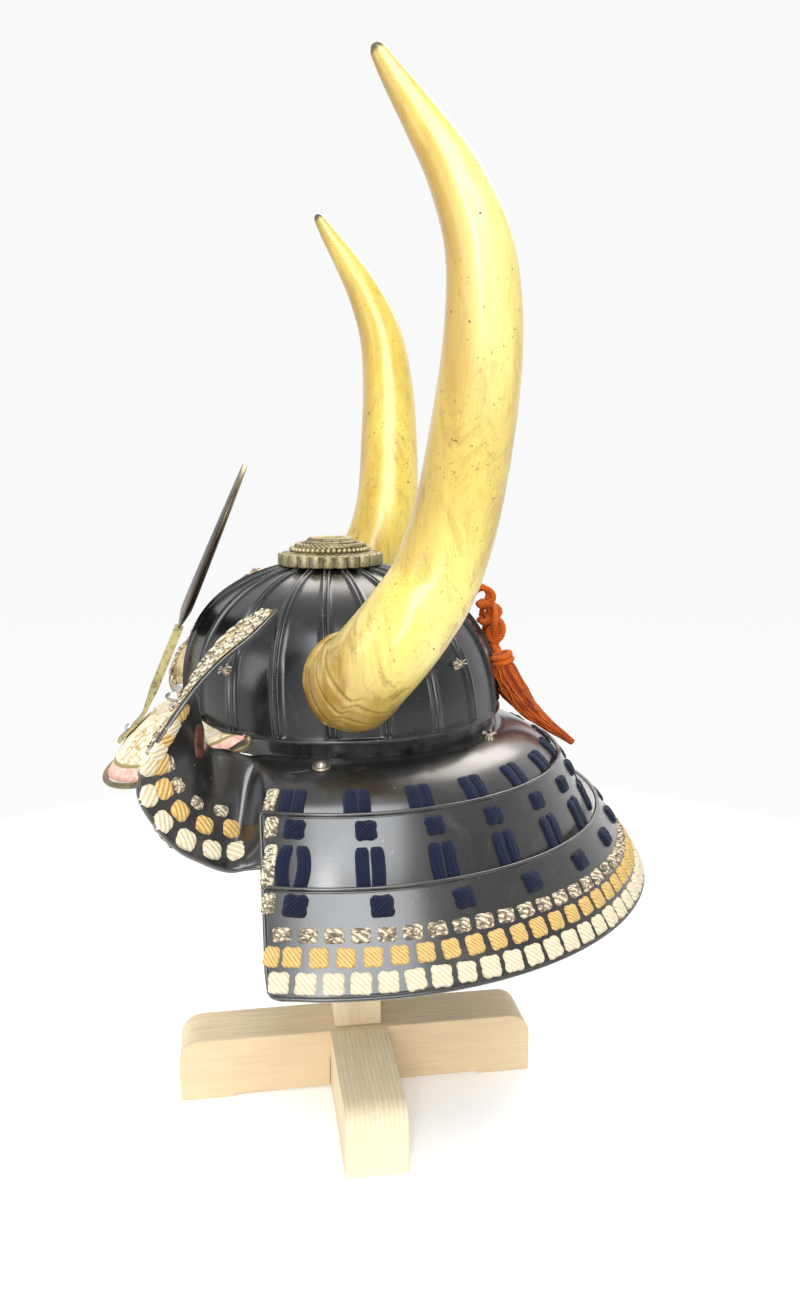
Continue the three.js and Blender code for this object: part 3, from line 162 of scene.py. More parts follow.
def mirror_x(point, side):
    """The point itself for the wearer's left, mirrored for the right."""
    return Vector((point.x * side, point.y, point.z))


def on_circle(middle, across, up, radius, angle):
    return middle + (across * math.cos(angle) + up * math.sin(angle)) * radius


def turns(count):
    """Evenly spaced angles of one full turn."""
    return [2 * math.pi * k / count for k in range(count)]


# Camera: the photograph's viewing angle.
YAW, PITCH, ROLL = math.radians(81.063), math.radians(9.965), math.radians(0.109)
CAMERA_SPOT = (846.5, -85.2, 531.4)
FOCAL_PIXELS = 1043.5
PHOTO_WIDTH, PHOTO_HEIGHT = 800, 1293
SENSOR_WIDTH = 36
camera_data = bpy.data.cameras.new("camera")
camera = bpy.data.objects.new("camera", camera_data)
bpy.context.scene.collection.objects.link(camera)
camera_data.sensor_fit = "HORIZONTAL"
camera_data.sensor_width = SENSOR_WIDTH
camera_data.lens = FOCAL_PIXELS / PHOTO_WIDTH * SENSOR_WIDTH
camera_data.clip_end = 50
heading = Vector((-math.sin(YAW) * math.cos(PITCH), math.cos(YAW) * math.cos(PITCH), -math.sin(PITCH)))
turn = heading.to_track_quat("-Z", "Y").to_matrix() @ Matrix.Rotation(-ROLL, 3, "Z")
camera.matrix_world = Matrix.Translation(place(CAMERA_SPOT)) @ turn.to_4x4()
bpy.context.scene.camera = camera


def pixel_ray(u, w):
    """The ray through a point of the 800 by 1293 photograph."""
    local = Vector(((u - PHOTO_WIDTH / 2) / FOCAL_PIXELS, -(w - PHOTO_HEIGHT / 2) / FOCAL_PIXELS, -1))
    return camera.matrix_world.translation.copy(), (turn @ local).normalized()


# Materials.
def shade(colour, factor, lift=0.0):
    return tuple(min(1, c * factor + lift) for c in colour)


class Look:
    """A material built node by node. where is the point in the object's own metres."""

    def __init__(self, name):
        self.material = bpy.data.materials.new(name)
        self.material.use_nodes = True
        self.nodes = self.material.node_tree.nodes
        self.links = self.material.node_tree.links
        self.nodes.clear()
        output = self.nodes.new("ShaderNodeOutputMaterial")
        self.shader = self.nodes.new("ShaderNodeBsdfPrincipled")
        self.links.new(self.shader.outputs[0], output.inputs[0])
        self.where = self.add("ShaderNodeTexCoord", {}, "Object")

    def put(self, node, inputs):
        """Links a socket, sets any other value. A colour is three numbers."""
        for key, value in inputs.items():
            socket = node.inputs[key]
            if isinstance(value, bpy.types.NodeSocket):
                self.links.new(value, socket)
            else:
                socket.default_value = (*value, 1) if socket.type == "RGBA" else value

    def add(self, kind, inputs, output=0, **settings):
        """A new node, as one of its outputs."""
        node = self.nodes.new(kind)
        for key, value in settings.items():
            setattr(node, key, value)
        self.put(node, inputs)
        return node.outputs[output]

    def done(self, **inputs):
        """The material, with the inputs of its shader set."""
        self.put(self.shader, {key.replace("_", " "): value for key, value in inputs.items()})
        return self.material

    def noise(self, scale, detail=4, rough=0.55, where=None, distortion=0):
        inputs = {"Vector": where or self.where, "Scale": scale, "Detail": detail, "Roughness": rough,
                  "Distortion": distortion}
        return self.add("ShaderNodeTexNoise", inputs, "Fac")

    def cells(self, scale, where=None, feature="F1"):
        inputs = {"Vector": where or self.where, "Scale": scale}
        return self.add("ShaderNodeTexVoronoi", inputs, "Distance", feature=feature)

    def wave(self, scale, where, distortion, detail, direction, detail_scale=1):
        inputs = {"Vector": where, "Scale": scale, "Distortion": distortion, "Detail": detail,
                  "Detail Scale": detail_scale}
        return self.add("ShaderNodeTexWave", inputs, "Fac", bands_direction=direction)

    def ramp(self, factor, *stops):
        """Grey levels at positions; the first and last level go on outside them."""
        node = self.nodes.new("ShaderNodeValToRGB")
        elements = node.color_ramp.elements
        while len(elements) < len(stops):
            elements.new(0.5)
        for element, (position, level) in zip(elements, stops):
            element.position = position
            element.color = (level, level, level, 1)
        self.links.new(factor, node.inputs["Fac"])
        return node.outputs["Color"]

    def grey(self, factor, low, high, from_low=0.0, from_high=1.0):
        """A range of the factor, as a value from low to high."""
        inputs = {"Value": factor, "From Min": from_low, "From Max": from_high, "To Min": low, "To Max": high}
        return self.add("ShaderNodeMapRange", inputs, "Result")

    def mix(self, factor, a, b):
        return self.add("ShaderNodeMix", {0: factor, 6: a, 7: b}, 2, data_type="RGBA")

    def math(self, operation, a, b):
        return self.add("ShaderNodeMath", {0: a, 1: b}, operation=operation)

    def times(self, a, b):
        return self.math("MULTIPLY", a, b)

    def stretch(self, x, y, z, where=None, turn_z=0.0):
        inputs = {"Vector": where or self.where, "Scale": (x, y, z), "Rotation": (0, 0, turn_z)}
        return self.add("ShaderNodeMapping", inputs)

    def value(self, name):
        """A value that the mesh carries at its points."""
        return self.add("ShaderNodeAttribute", {}, "Fac", attribute_name=name)

    def bump(self, height, strength, distance):
        return self.add("ShaderNodeBump", {"Height": height, "Strength": strength, "Distance": distance})

    def edges(self):
        """Bright on convex edges and dark in corners."""
        return self.add("ShaderNodeNewGeometry", {}, "Pointiness")


def lacquer(name, colour, lift, rough, worn, scuffs=0.35, coat=0.4):
    look = Look(name)
    base = look.mix(look.grey(look.noise(14, 5, 0.6), 0, 1, 0.35, 0.7), colour, lift)
    specks = look.ramp(look.noise(170, 2, 0.7), (0.7, 0), (0.75, 1))
    base = look.mix(look.times(specks, 0.4), base, worn)
    rubbed = look.grey(look.edges(), 0, 1, 0.53, 0.6)
    rubbed = look.times(rubbed, look.grey(look.noise(60, 4), 0, 0.8, 0.4, 0.65))
    base = look.mix(rubbed, base, worn)
    smear = look.grey(look.noise(21, 6, 0.72, look.stretch(1, 1, 0.5), 1.2), 0, scuffs, 0.55, 0.72)
    base = look.mix(smear, base, shade(worn, 0.4))
    height = look.math("ADD", look.times(look.noise(420, 3, 0.6), 0.25), look.noise(46, 3))
    dull = look.grey(look.noise(30, 5), rough, rough + 0.16, 0.3, 0.75)
    dull = look.math("ADD", dull, look.times(smear, 0.35))
    return look.done(Base_Color=base, Roughness=dull, Normal=look.bump(height, 0.1, 0.0008),
                     Specular_IOR_Level=0.5, Coat_Weight=coat, Coat_Roughness=0.2)


def metal(name, dark, light, rough):
    look = Look(name)
    grime = (0.03, 0.025, 0.02)
    base = look.mix(look.grey(look.noise(70, 6, 0.65), 0, 1, 0.3, 0.7), dark, light)
    pits = look.ramp(look.noise(260, 4, 0.7), (0.38, 1), (0.47, 0))
    base = look.mix(look.times(pits, 0.7), base, grime)
    low = look.grey(look.edges(), 1, 0, 0.44, 0.5)
    base = look.mix(look.times(low, 0.75), base, grime)
    high = look.grey(look.edges(), 0, 1, 0.52, 0.6)
    base = look.mix(look.times(high, 0.5), base, shade(light, 1.7))
    dull = look.grey(look.noise(120, 4), rough - 0.1, rough + 0.16)
    return look.done(Base_Color=base, Roughness=dull, Metallic=0.85,
                     Normal=look.bump(look.noise(240, 5, 0.6), 0.25, 0.0006))


def crest_look():
    """Dark worn metal below, paler and greener towards the tips."""
    look = Look("crest_metal")
    grain = look.grey(look.noise(46, 6, 0.7, look.stretch(1, 1, 0.25)), 0, 1, 0.35, 0.65)
    dark = look.mix(grain, (0.012, 0.008, 0.005), (0.085, 0.055, 0.028))
    pale = look.mix(grain, (0.12, 0.095, 0.055), (0.36, 0.31, 0.2))
    base = look.mix(look.grey(look.value("along"), 0, 1, 0.5, 0.95), dark, pale)
    return look.done(Base_Color=base, Roughness=look.grey(look.noise(90, 4), 0.2, 0.45), Metallic=0.75,
                     Normal=look.bump(look.noise(150, 5, 0.6), 0.2, 0.0006))


def cord_look(name, groove, ridge, dashes=None, fine=1.0):
    """Braided or twisted cord: tone is low between its yarns, where the groove colour is painted shade. UV
    holds millimetres.
    """
    look = Look(name)
    at = look.add("ShaderNodeUVMap", {}, uv_map="UVMap")
    patch = look.grey(look.noise(0.35, 4, 0.6, at), 0, 1, 0.32, 0.68)
    lit = look.mix(patch, ridge, shade(ridge, 0.72))
    if dashes:
        streaks = look.noise(0.3, 2, 0.5, look.stretch(0.7, 1.3, 1, at), 0.6)
        lit = look.mix(look.ramp(streaks, (0.515, 0), (0.535, 1)), lit, dashes[0])
        bits = look.noise(0.6, 2, 0.5, look.stretch(1.1, 0.8, 1, look.stretch(1, 1, 1, at, 0.8)))
        lit = look.mix(look.ramp(bits, (0.62, 0), (0.66, 1)), lit, dashes[1])
    # Low tone and the yarn wave both pull towards the groove colour: painted shade between the yarns.
    base = look.mix(look.grey(look.value("tone"), 0, 1, 0.12, 0.72), groove, lit)
    yarn = look.wave(2.6 * fine, at, 0.8, 1, "DIAGONAL")
    base = look.mix(look.grey(yarn, 0.28, 0, 0.15, 0.6), base, groove)
    fuzz = look.noise(1100, 2, 0.6)
    base = look.mix(look.grey(fuzz, 0, 0.18), base, shade(ridge, 1.4, 0.01))
    height = look.math("ADD", look.times(yarn, 0.7), look.times(fuzz, 0.4))
    return look.done(Base_Color=base, Normal=look.bump(height, 0.5, 0.0005), Roughness=0.8, Sheen_Weight=0.08,
                     Sheen_Roughness=0.5, Specular_IOR_Level=0.22)


def stencilled_leather(name, cream, print_colour, band=None):
    """Printed leather. With a band, the mesh carries edge, the distance from the band's outer side."""
    look = Look(name)
    warp = look.times(look.noise(55, 3, 0.6), 0.02)
    warp = look.add("ShaderNodeCombineXYZ", {0: warp, 1: warp, 2: warp})
    at = look.add("ShaderNodeVectorMath", {0: look.where, 1: warp}, operation="ADD")
    lines = look.ramp(look.cells(95, at, "DISTANCE_TO_EDGE"), (0.05, 1), (0.11, 0))
    dots = look.ramp(look.cells(210, at), (0.2, 1), (0.32, 0))
    worn = look.grey(look.noise(30, 6, 0.7), 0, 1, 0.42, 0.58)
    base = look.mix(look.grey(look.noise(22, 5), 0, 1, 0.3, 0.7), cream, shade(cream, 0.82))
    base = look.mix(look.times(lines, worn), base, print_colour)
    base = look.mix(look.times(look.times(dots, worn), 0.55), base, shade(print_colour, 0.5))
    stain = look.grey(look.noise(9, 6, 0.65), 0, 0.6, 0.5, 0.75)
    base = look.mix(stain, base, (0.42, 0.27, 0.1))
    if band:
        edge = look.value("edge")
        pinks = look.grey(look.noise(160, 4), 0, 1, 0.35, 0.65)
        pinks = look.mix(pinks, band, shade(band, 1.5, 0.12))
        base = look.mix(look.ramp(edge, (0.135, 1), (0.15, 0)), base, pinks)
        line = look.ramp(edge, (0.14, 0), (0.15, 1), (0.17, 1), (0.185, 0))
        base = look.mix(line, base, (0.3, 0.22, 0.07))
    height = look.math("ADD", look.noise(340, 4), look.times(lines, -0.5))
    return look.done(Base_Color=base, Roughness=look.grey(look.noise(80, 4), 0.5, 0.8),
                     Normal=look.bump(height, 0.35, 0.0008))


def horn_look():
    """Gilt horn: along is 0 at the root and 1 at the tip."""
    look = Look("gilt_horn")
    along = look.value("along")
    grain = look.stretch(1, 1, 0.14)
    gold = look.grey(look.noise(26, 5, 0.6, grain), 0, 1, 0.32, 0.68)
    base = look.mix(gold, (0.56, 0.375, 0.035), (0.79, 0.63, 0.135))
    pale = look.grey(look.noise(7, 4, 0.5, grain), 0, 0.7, 0.5, 0.72)
    base = look.mix(pale, base, (0.9, 0.81, 0.37))
    # The sides turned ahead and down are painted darker, as shade, mottled by noise.
    normal = look.add("ShaderNodeNewGeometry", {}, "True Normal")
    facing = {0: normal, 1: (0.1, -0.88, -0.45)}
    facing = look.add("ShaderNodeVectorMath", facing, "Value", operation="DOT_PRODUCT")
    shaded_side = look.grey(facing, 0, 0.85, 0.2, 0.95)
    shaded_side = look.times(shaded_side, look.grey(look.noise(30, 5, 0.65, grain), 0.45, 1, 0.35, 0.65))
    base = look.mix(shaded_side, base, (0.36, 0.19, 0.014))
    fleck = look.ramp(look.noise(300, 3, 0.75), (0.61, 0), (0.68, 1))
    patch = look.grey(look.noise(16, 5, 0.7), 0, 1, 0.44, 0.6)
    base = look.mix(look.times(fleck, patch), base, (0.16, 0.07, 0.01))
    spots = look.ramp(look.cells(85), (0.05, 1), (0.09, 0))
    few = look.ramp(look.noise(33, 2), (0.52, 0), (0.56, 1))
    base = look.mix(look.times(spots, few), base, (0.05, 0.022, 0.008))
    smear = look.grey(look.noise(34, 6, 0.75, look.stretch(1, 1, 0.3), 1.5), 0, 1, 0.5, 0.64)
    smears = look.times(smear, look.ramp(along, (0, 1), (0.3, 0.75), (0.7, 0.3)))
    base = look.mix(look.times(smears, 0.8), base, (0.24, 0.12, 0.012))
    foot = look.ramp(along, (0, 1), (0.09, 0.9), (0.24, 0))
    streaks = look.grey(look.noise(60, 4, 0.6, look.stretch(0.25, 1, 1)), 0.55, 1, 0.35, 0.65)
    base = look.mix(look.times(foot, streaks), base, (0.29, 0.145, 0.01))
    tip = look.ramp(along, (0.85, 0), (0.962, 0.25), (0.968, 1))
    worn_tip = look.grey(look.noise(20, 5, 0.7, grain), 0.7, 1, 0.35, 0.65)
    base = look.mix(look.times(tip, worn_tip), base, (0.045, 0.028, 0.012))
    # Painted shade in the grooves near the root, where the surface turns inwards.
    groove = look.grey(look.edges(), 1, 0, 0.42, 0.49)
    ringed = look.ramp(along, (0.2, 1), (0.3, 0))
    base = look.mix(look.times(groove, ringed), base, (0.13, 0.06, 0.008))
    height = look.math("SUBTRACT", look.noise(90, 5, 0.6, grain), look.times(smears, 0.5))
    return look.done(Base_Color=base, Roughness=look.grey(look.noise(45, 4), 0.28, 0.5),
                     Normal=look.bump(height, 0.25, 0.001), Coat_Weight=0.8, Coat_Roughness=0.22)


def wood_look(name, light, dark, axis):
    """Planed wood with its grain along one axis."""
    look = Look(name)
    at = look.stretch(*(0.09 if letter == axis else 1 for letter in "XYZ"))
    rings = look.wave(84, at, 1.6, 2, "Y" if axis == "X" else "X", 1.5)
    fibre = look.noise(260, 4, 0.6, at)
    base = look.mix(look.grey(rings, 0, 0.75, 0.2, 0.9), light, dark)
    base = look.mix(look.grey(fibre, 0, 0.45, 0.4, 0.7), base, shade(dark, 0.8))
    stain = look.grey(look.noise(8, 4), 0, 0.5, 0.45, 0.7)
    base = look.mix(stain, base, shade(dark, 0.9))
    height = look.math("ADD", look.times(rings, 0.4), fibre)
    return look.done(Base_Color=base, Roughness=look.grey(fibre, 0.5, 0.7),
                     Normal=look.bump(height, 0.18, 0.0006))


BLACK = lacquer("bowl_lacquer", (0.004, 0.0042, 0.005), (0.009, 0.0095, 0.011), 0.22, (0.14, 0.14, 0.15))
GUARD = lacquer("guard_lacquer", (0.008, 0.0078, 0.0076), (0.019, 0.0175, 0.016), 0.24, (0.16, 0.14, 0.12),
                0.5, 1.0)
# Near-black lacquer: painted shade inside the guard's slots.
SLOT_SHADE = lacquer("painted_slot_shade", (0.0015, 0.0015, 0.0016), (0.003, 0.003, 0.003), 0.6, (0.02, 0.02, 0.02))
BRONZE = metal("crown_bronze", (0.16, 0.135, 0.075), (0.42, 0.37, 0.22), 0.5)
BRASS = metal("aged_brass", (0.22, 0.19, 0.08), (0.46, 0.4, 0.19), 0.45)
DARK_BRASS = metal("dark_brass", (0.10, 0.082, 0.045), (0.27, 0.225, 0.12), 0.48)
CREST = crest_look()
STUD = metal("stud_metal", (0.13, 0.105, 0.075), (0.36, 0.32, 0.25), 0.34)
STEEL = metal("rivet_steel", (0.2, 0.2, 0.2), (0.46, 0.46, 0.47), 0.42)
LEATHER = stencilled_leather("turnback_leather", (0.62, 0.48, 0.26), (0.13, 0.075, 0.03))
RED_LEATHER = stencilled_leather("red_leather", (0.12, 0.034, 0.018), (0.03, 0.012, 0.008))
PEAK_LEATHER = stencilled_leather("peak_leather", (0.88, 0.8, 0.6), (0.52, 0.36, 0.13), (0.72, 0.33, 0.26))
HORN = horn_look()
NAVY = cord_look("navy_lace_silk", (0.0008, 0.0014, 0.005), (0.0062, 0.0125, 0.047))
CREAM = cord_look("cream_braid", (0.62, 0.45, 0.2), (0.93, 0.86, 0.66))
TAN = cord_look("tan_braid", (0.42, 0.19, 0.035), (0.9, 0.62, 0.24))
FLECK = cord_look("flecked_braid", (0.22, 0.12, 0.045), (0.95, 0.86, 0.62),
                  ((0.012, 0.009, 0.01), (0.22, 0.1, 0.03)))
ORANGE = cord_look("orange_silk_cord", (0.34, 0.028, 0.0015), (0.83, 0.16, 0.006))
STRANDS = cord_look("orange_silk_strands", (0.22, 0.012, 0.001), (0.9, 0.19, 0.012), fine=0.4)
WOOD_X = wood_look("stand_wood_across", (0.9, 0.78, 0.56), (0.8, 0.64, 0.41), "X")
WOOD_Y = wood_look("stand_wood_ahead", (0.87, 0.73, 0.5), (0.71, 0.54, 0.32), "Y")
WOOD_Z = wood_look("stand_wood_up", (0.9, 0.78, 0.55), (0.78, 0.61, 0.38), "Z")
WOOD_HEAD = wood_look("head_wood", (0.6, 0.47, 0.3), (0.45, 0.33, 0.2), "Z")


# Making meshes.
def face_outward(mesh):
    shell = bmesh.new()
    shell.from_mesh(mesh)
    bmesh.ops.recalc_face_normals(shell, faces=shell.faces)
    shell.to_mesh(mesh)
    shell.free()


def link(name, data):
    thing = bpy.data.objects.new(name, data)
    bpy.context.scene.collection.objects.link(thing)
    return thing


def add_mesh(name, points, faces, material, replaced=(), uv=None, values=None):
    """A piece from points in metres. uv is one pair a point, values is {name: one number a point}."""
    mesh = bpy.data.meshes.new(name)
    mesh.from_pydata([tuple(p) for p in points], [], faces)
    mesh.validate()
    face_outward(mesh)
    if uv:
        layer = mesh.uv_layers.new(name="UVMap")
        for loop in mesh.loops:
            layer.data[loop.index].uv = uv[loop.vertex_index]
    for key, numbers in (values or {}).items():
        attribute = mesh.attributes.new(key, "FLOAT", "POINT")
        attribute.data.foreach_set("value", numbers)
    mesh.shade_smooth()
    mesh.materials.append(material)
    piece = link(name, mesh)
    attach(piece, "root")
    if replaced:
        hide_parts(*replaced)
    return piece


def quads(rows, columns, closed_across=True, closed_along=False, base=0):
    """The faces between rows of points."""
    faces = []
    for i in range(rows if closed_along else rows - 1):
        a, b = base + i * columns, base + (i + 1) % rows * columns
        for k in range(columns if closed_across else columns - 1):
            m = (k + 1) % columns
            faces.append((a + k, a + m, b + m, b + k))
    return faces


class Batch:
    """Gathers many small forms of one material into one piece. tone is 0 in a groove, 1 on a ridge; the cord
    materials paint a low tone as shade.
    """

    def __init__(self):
        self.points, self.faces, self.uv, self.tone = [], [], [], []

    def grid(self, rows, columns, spot, closed_across=False, closed_along=False, caps=False):
        """A sheet of rows and columns. spot(i, k) gives a point in millimetres, its uv and its tone."""
        base = len(self.points)
        for i in range(rows):
            for k in range(columns):
                point, uv, tone = spot(i, k)
                self.points.append(place(point))
                self.uv.append(uv)
                self.tone.append(tone)
        self.faces += quads(rows, columns, closed_across, closed_along, base)
        if caps:
            self.faces.append(tuple(base + k for k in range(columns))[::-1])
            self.faces.append(tuple(base + (rows - 1) * columns + k for k in range(columns)))

    def loft(self, rows, closed_along=False, caps=False, tone=1.0):
        """Rings of points in millimetres, joined."""
        self.grid(len(rows), len(rows[0]), lambda i, k: (rows[i][k], (k, i), tone), True, closed_along, caps)

    def done(self, name, material, slot, replaced=()):
        return add_mesh(name, self.points, self.faces, material, replaced, self.uv, {"tone": self.tone})


def catmull(rows, t):
    """The uniform Catmull-Rom curve the model uses, t from 0 to 1."""
    last = len(rows) - 1
    spot = min(max(t, 0.0), 1.0) * last
    i = min(int(spot), last - 1)
    w = spot - i
    p1, p2 = rows[i], rows[i + 1]
    p0 = rows[i - 1] if i > 0 else p1 * 2 - p2
    p3 = rows[i + 2] if i + 2 <= last else p2 * 2 - p1
    m1, m2 = (p2 - p0) * 0.5, (p3 - p1) * 0.5
    return (p1 + m1 * w + (p1 * -3 + p2 * 3 - m1 * 2 - m2) * w ** 2
            + (p1 * 2 - p2 * 2 + m1 + m2) * w ** 3)


def around(angle, half_width, half_length, z, centre_y=0.0):
    a = math.radians(angle)
    return Vector((half_width * math.sin(a), centre_y - half_length * math.cos(a), z))


def surface_normal(surface, u, v, step=1e-4):
    du = surface(min(u + step, 1), v) - surface(max(u - step, -1), v)
    dv = surface(u, min(v + step, 1)) - surface(u, max(v - step, 0))
    return du.cross(dv).normalized()


def shell_faces(nu, nv):
    """Two skins of nv rows of nu points, the second after the first, and the border between them."""
    back = nu * nv
    faces = []
    for face in quads(nv, nu, False):
        faces += [face, tuple(back + i for i in face[::-1])]
    border = [(j * nu, (j + 1) * nu) for j in range(nv - 1)]
    border += [((j + 1) * nu + nu - 1, j * nu + nu - 1) for j in range(nv - 1)]
    border += [(i + 1, i) for i in range(nu - 1)]
    border += [((nv - 1) * nu + i, (nv - 1) * nu + i + 1) for i in range(nu - 1)]
    faces += [(a, b, back + b, back + a) for a, b in border]
    return faces


def shell_piece(name, surface, us, vs, outer, thickness, material, replaced, values=None):
    """A closed plate over surface(u, v) in millimetres; outer(u, v) is the offset of its outer side."""
    points, uv, numbers = [], [], {key: [] for key in (values or {})}
    for offset in (outer, lambda u, v: -thickness):
        for v in vs:
            for u in us:
                points.append(place(surface(u, v) + surface_normal(surface, u, v) * offset(u, v)))
                uv.append((u, v))
                for key, rule in (values or {}).items():
                    numbers[key].append(rule(u, v))
    return add_mesh(name, points, shell_faces(len(us), len(vs)), material, replaced, uv, numbers)


def frames_along(points, first=None, closed=False):
    """(point, side, up) along a line, turned without twist."""
    out = []
    last = len(points) - 1
    side = first or Vector((1, 0, 0))
    for i, point in enumerate(points):
        before = points[(i - 1) % (last + 1)] if closed else points[max(i - 1, 0)]
        after = points[(i + 1) % (last + 1)] if closed else points[min(i + 1, last)]
        direction = (after - before).normalized()
        side = side - direction * side.dot(direction)
        if side.length < 1e-4:
            side = direction.orthogonal()
        side = side.normalized()
        out.append((point, side, direction.cross(side).normalized()))
    return out


DENSE = 600


def smooth_line(points, count, closed=False):
    """Evenly sampled Catmull-Rom line through points."""
    if closed:
        n = len(points)
        rows = [points[(i - 1) % n] for i in range(n + 3)]
        dense = [catmull(rows, (1 + n * k / DENSE) / (n + 2)) for k in range(DENSE + 1)]
    else:
        dense = [catmull(points, k / DENSE) for k in range(DENSE + 1)]
    lengths = [0.0]
    for a, b in zip(dense, dense[1:]):
        lengths.append(lengths[-1] + (b - a).length)
    total = lengths[-1]
    out, j = [], 0
    for k in range(count + (0 if closed else 1)):
        target = total * k / count
        while j < DENSE - 1 and lengths[j + 1] < target:
            j += 1
        span = max(lengths[j + 1] - lengths[j], 1e-9)
        out.append(dense[j].lerp(dense[j + 1], min(max((target - lengths[j]) / span, 0), 1)))
    return out, total


# Twists: yarns, millimetres a turn, sides of the section, step along the cord, depth of the grooves.
CROWN_TWIST = 4, 15, 20, 0.8, 0.4
ROD = 1, 4000, 14, 2.2, 0
WIRE = 1, 10, 10, 0.8, 0
FRAY = 2, 4, 5, 1, 0.16
FINE_FRAY = 2, 4, 6, 0.8, 0.16
SILK = 4, 10, 20, 0.8, 0.26
TIGHT_SILK = 4, 8, 18, 0.8, 0.26
STRAND = 2, 5, 6, 2.2, 0.2


def rope(batch, points, radius, strands, pitch, sides, step, depth, closed=False, taper=0.0, tone=1.0):
    """A twisted cord along points in millimetres. tone under 1 is a darker yarn."""
    length = sum((b - a).length for a, b in zip(points, points[1:]))
    count = max(8, int(length / step))
    line, total = smooth_line(points, count, closed)
    frames = frames_along(line, closed=closed)

    def spot(i, k):
        point, side, up = frames[i]
        travel = total * i / count
        near = min(travel, total - travel)
        end = 1.0 if closed else min(1.0, math.sqrt(max(near, 0.02) / max(radius * 0.8, 0.1)))
        angle = 2 * math.pi * k / sides
        # lobe is low in the grooves between yarns, where the cord materials paint shade.
        lobe = abs(math.cos(strands * (angle - 2 * math.pi * travel / pitch) / 2))
        r = radius * end * (1 - taper * travel / total) * (1 - depth + depth * lobe)
        return on_circle(point, side, up, r, angle), (angle * radius, travel), lobe * tone

    batch.grid(len(frames), sides, spot, True, closed, not closed)


def traced(spots):
    """Points seen at (column, row), each at its own distance out from the helmet's middle."""
    points = []
    for u, w, out in spots:
        start, direction = pixel_ray(u, w)
        points.append(unplace(start + direction * ((out * MM - start.x) / direction.x)))
    return points


def ray_map(piece):
    return BVHTree.FromObject(piece, bpy.context.evaluated_depsgraph_get())


# Further out than any part of the guard.
OUTSIDE = 420


def facing(hit, direction):
    """A hit as its place in millimetres and its normal, turned to the side of the direction."""
    point, normal = hit[:2]
    return unplace(point), normal if normal.dot(direction) > 0 else -normal


def hit_pixel(tree, u, w):
    """The place and normal that show at a point of the photograph."""
    start, direction = pixel_ray(u, w)
    return facing(tree.ray_cast(start, direction), -direction)


def nearest(tree, spot):
    """The nearest place of a piece's outside to a spot, and its normal."""
    return facing(tree.find_nearest(place(spot)), Vector((0, 0, 1)))


def hit_side(tree, angle, z):
    """The outermost place of a ring-like piece at an angle and height, and its normal."""
    direction = around(angle, 1, 1, 0)
    start = place(Vector((0, 0, z)) + direction * OUTSIDE)
    return facing(tree.ray_cast(start, -direction), direction)


def flat_on(direction, normal):
    """A direction laid into the surface with that normal."""
    return (direction - normal * direction.dot(normal)).normalized()


PAD_RINGS, PAD_SPOKES = 11, 40
PAD_SINK = 0.35


def pad(batch, point, normal, along, size, ridges, slant=1, lobes=0.06, square=3.0, cross=False):
    """A cross-knot: a cushion of braid lying on a surface. along is the knot's sideways direction."""
    width, height, thick = size
    side = flat_on(along, normal)
    up = normal.cross(side).normalized()
    jitter = random.uniform(-0.1, 0.1)
    growth = random.uniform(0.96, 1.05)
    phase = random.uniform(0, 6.28)
    drift = random.uniform(-0.12, 0.12)

    def spot(i, k):
        r = (PAD_RINGS - i) / PAD_RINGS
        a = 2 * math.pi * k / PAD_SPOKES
        c, s = math.cos(a), math.sin(a)
        rim = (abs(c) ** square + abs(s) ** square) ** (-1 / square)
        rim *= 1 - lobes * (1 + math.cos(4 * a)) / 2
        rim *= growth * (1 + 0.022 * math.sin(7 * a + phase) + 0.018 * math.sin(13 * a - 2 * phase))
        x, y = r * rim * c, r * rim * s
        x, y = x - y * jitter, y + x * jitter
        # The ridges' tone goes low between them, where the cord materials paint shade.
        wave = 0.5 + 0.5 * math.cos((x + slant * y * (1 + drift)) * math.pi * ridges / 2 + phase)
        tone, swell = wave ** 0.7, 0.8 + 0.2 * wave
        if cross:
            near = abs(x - slant * y) < 0.42
            tone = 0.5 + 0.5 * math.cos((x - slant * y) * math.pi * ridges / 2 + phase) if near else wave
            swell = (0.92 if near else 0.8) + 0.16 * tone
        lift = thick * (1 - r ** 3.4) ** 0.5 * swell - (PAD_SINK if i == 0 else 0)
        q = point + side * (x * width / 2) + up * (y * height / 2) + normal * lift
        return q, (x * width / 2 + phase * 5, y * height / 2 + (point.x + point.y) % 7), tone

    batch.grid(PAD_RINGS + 1, PAD_SPOKES, spot, True)


LACE_RIBS = 3
LACE_COLUMNS = LACE_RIBS * 8 + 1
LACE_PLAIT = 2.4
LACE_SINK = 0.3


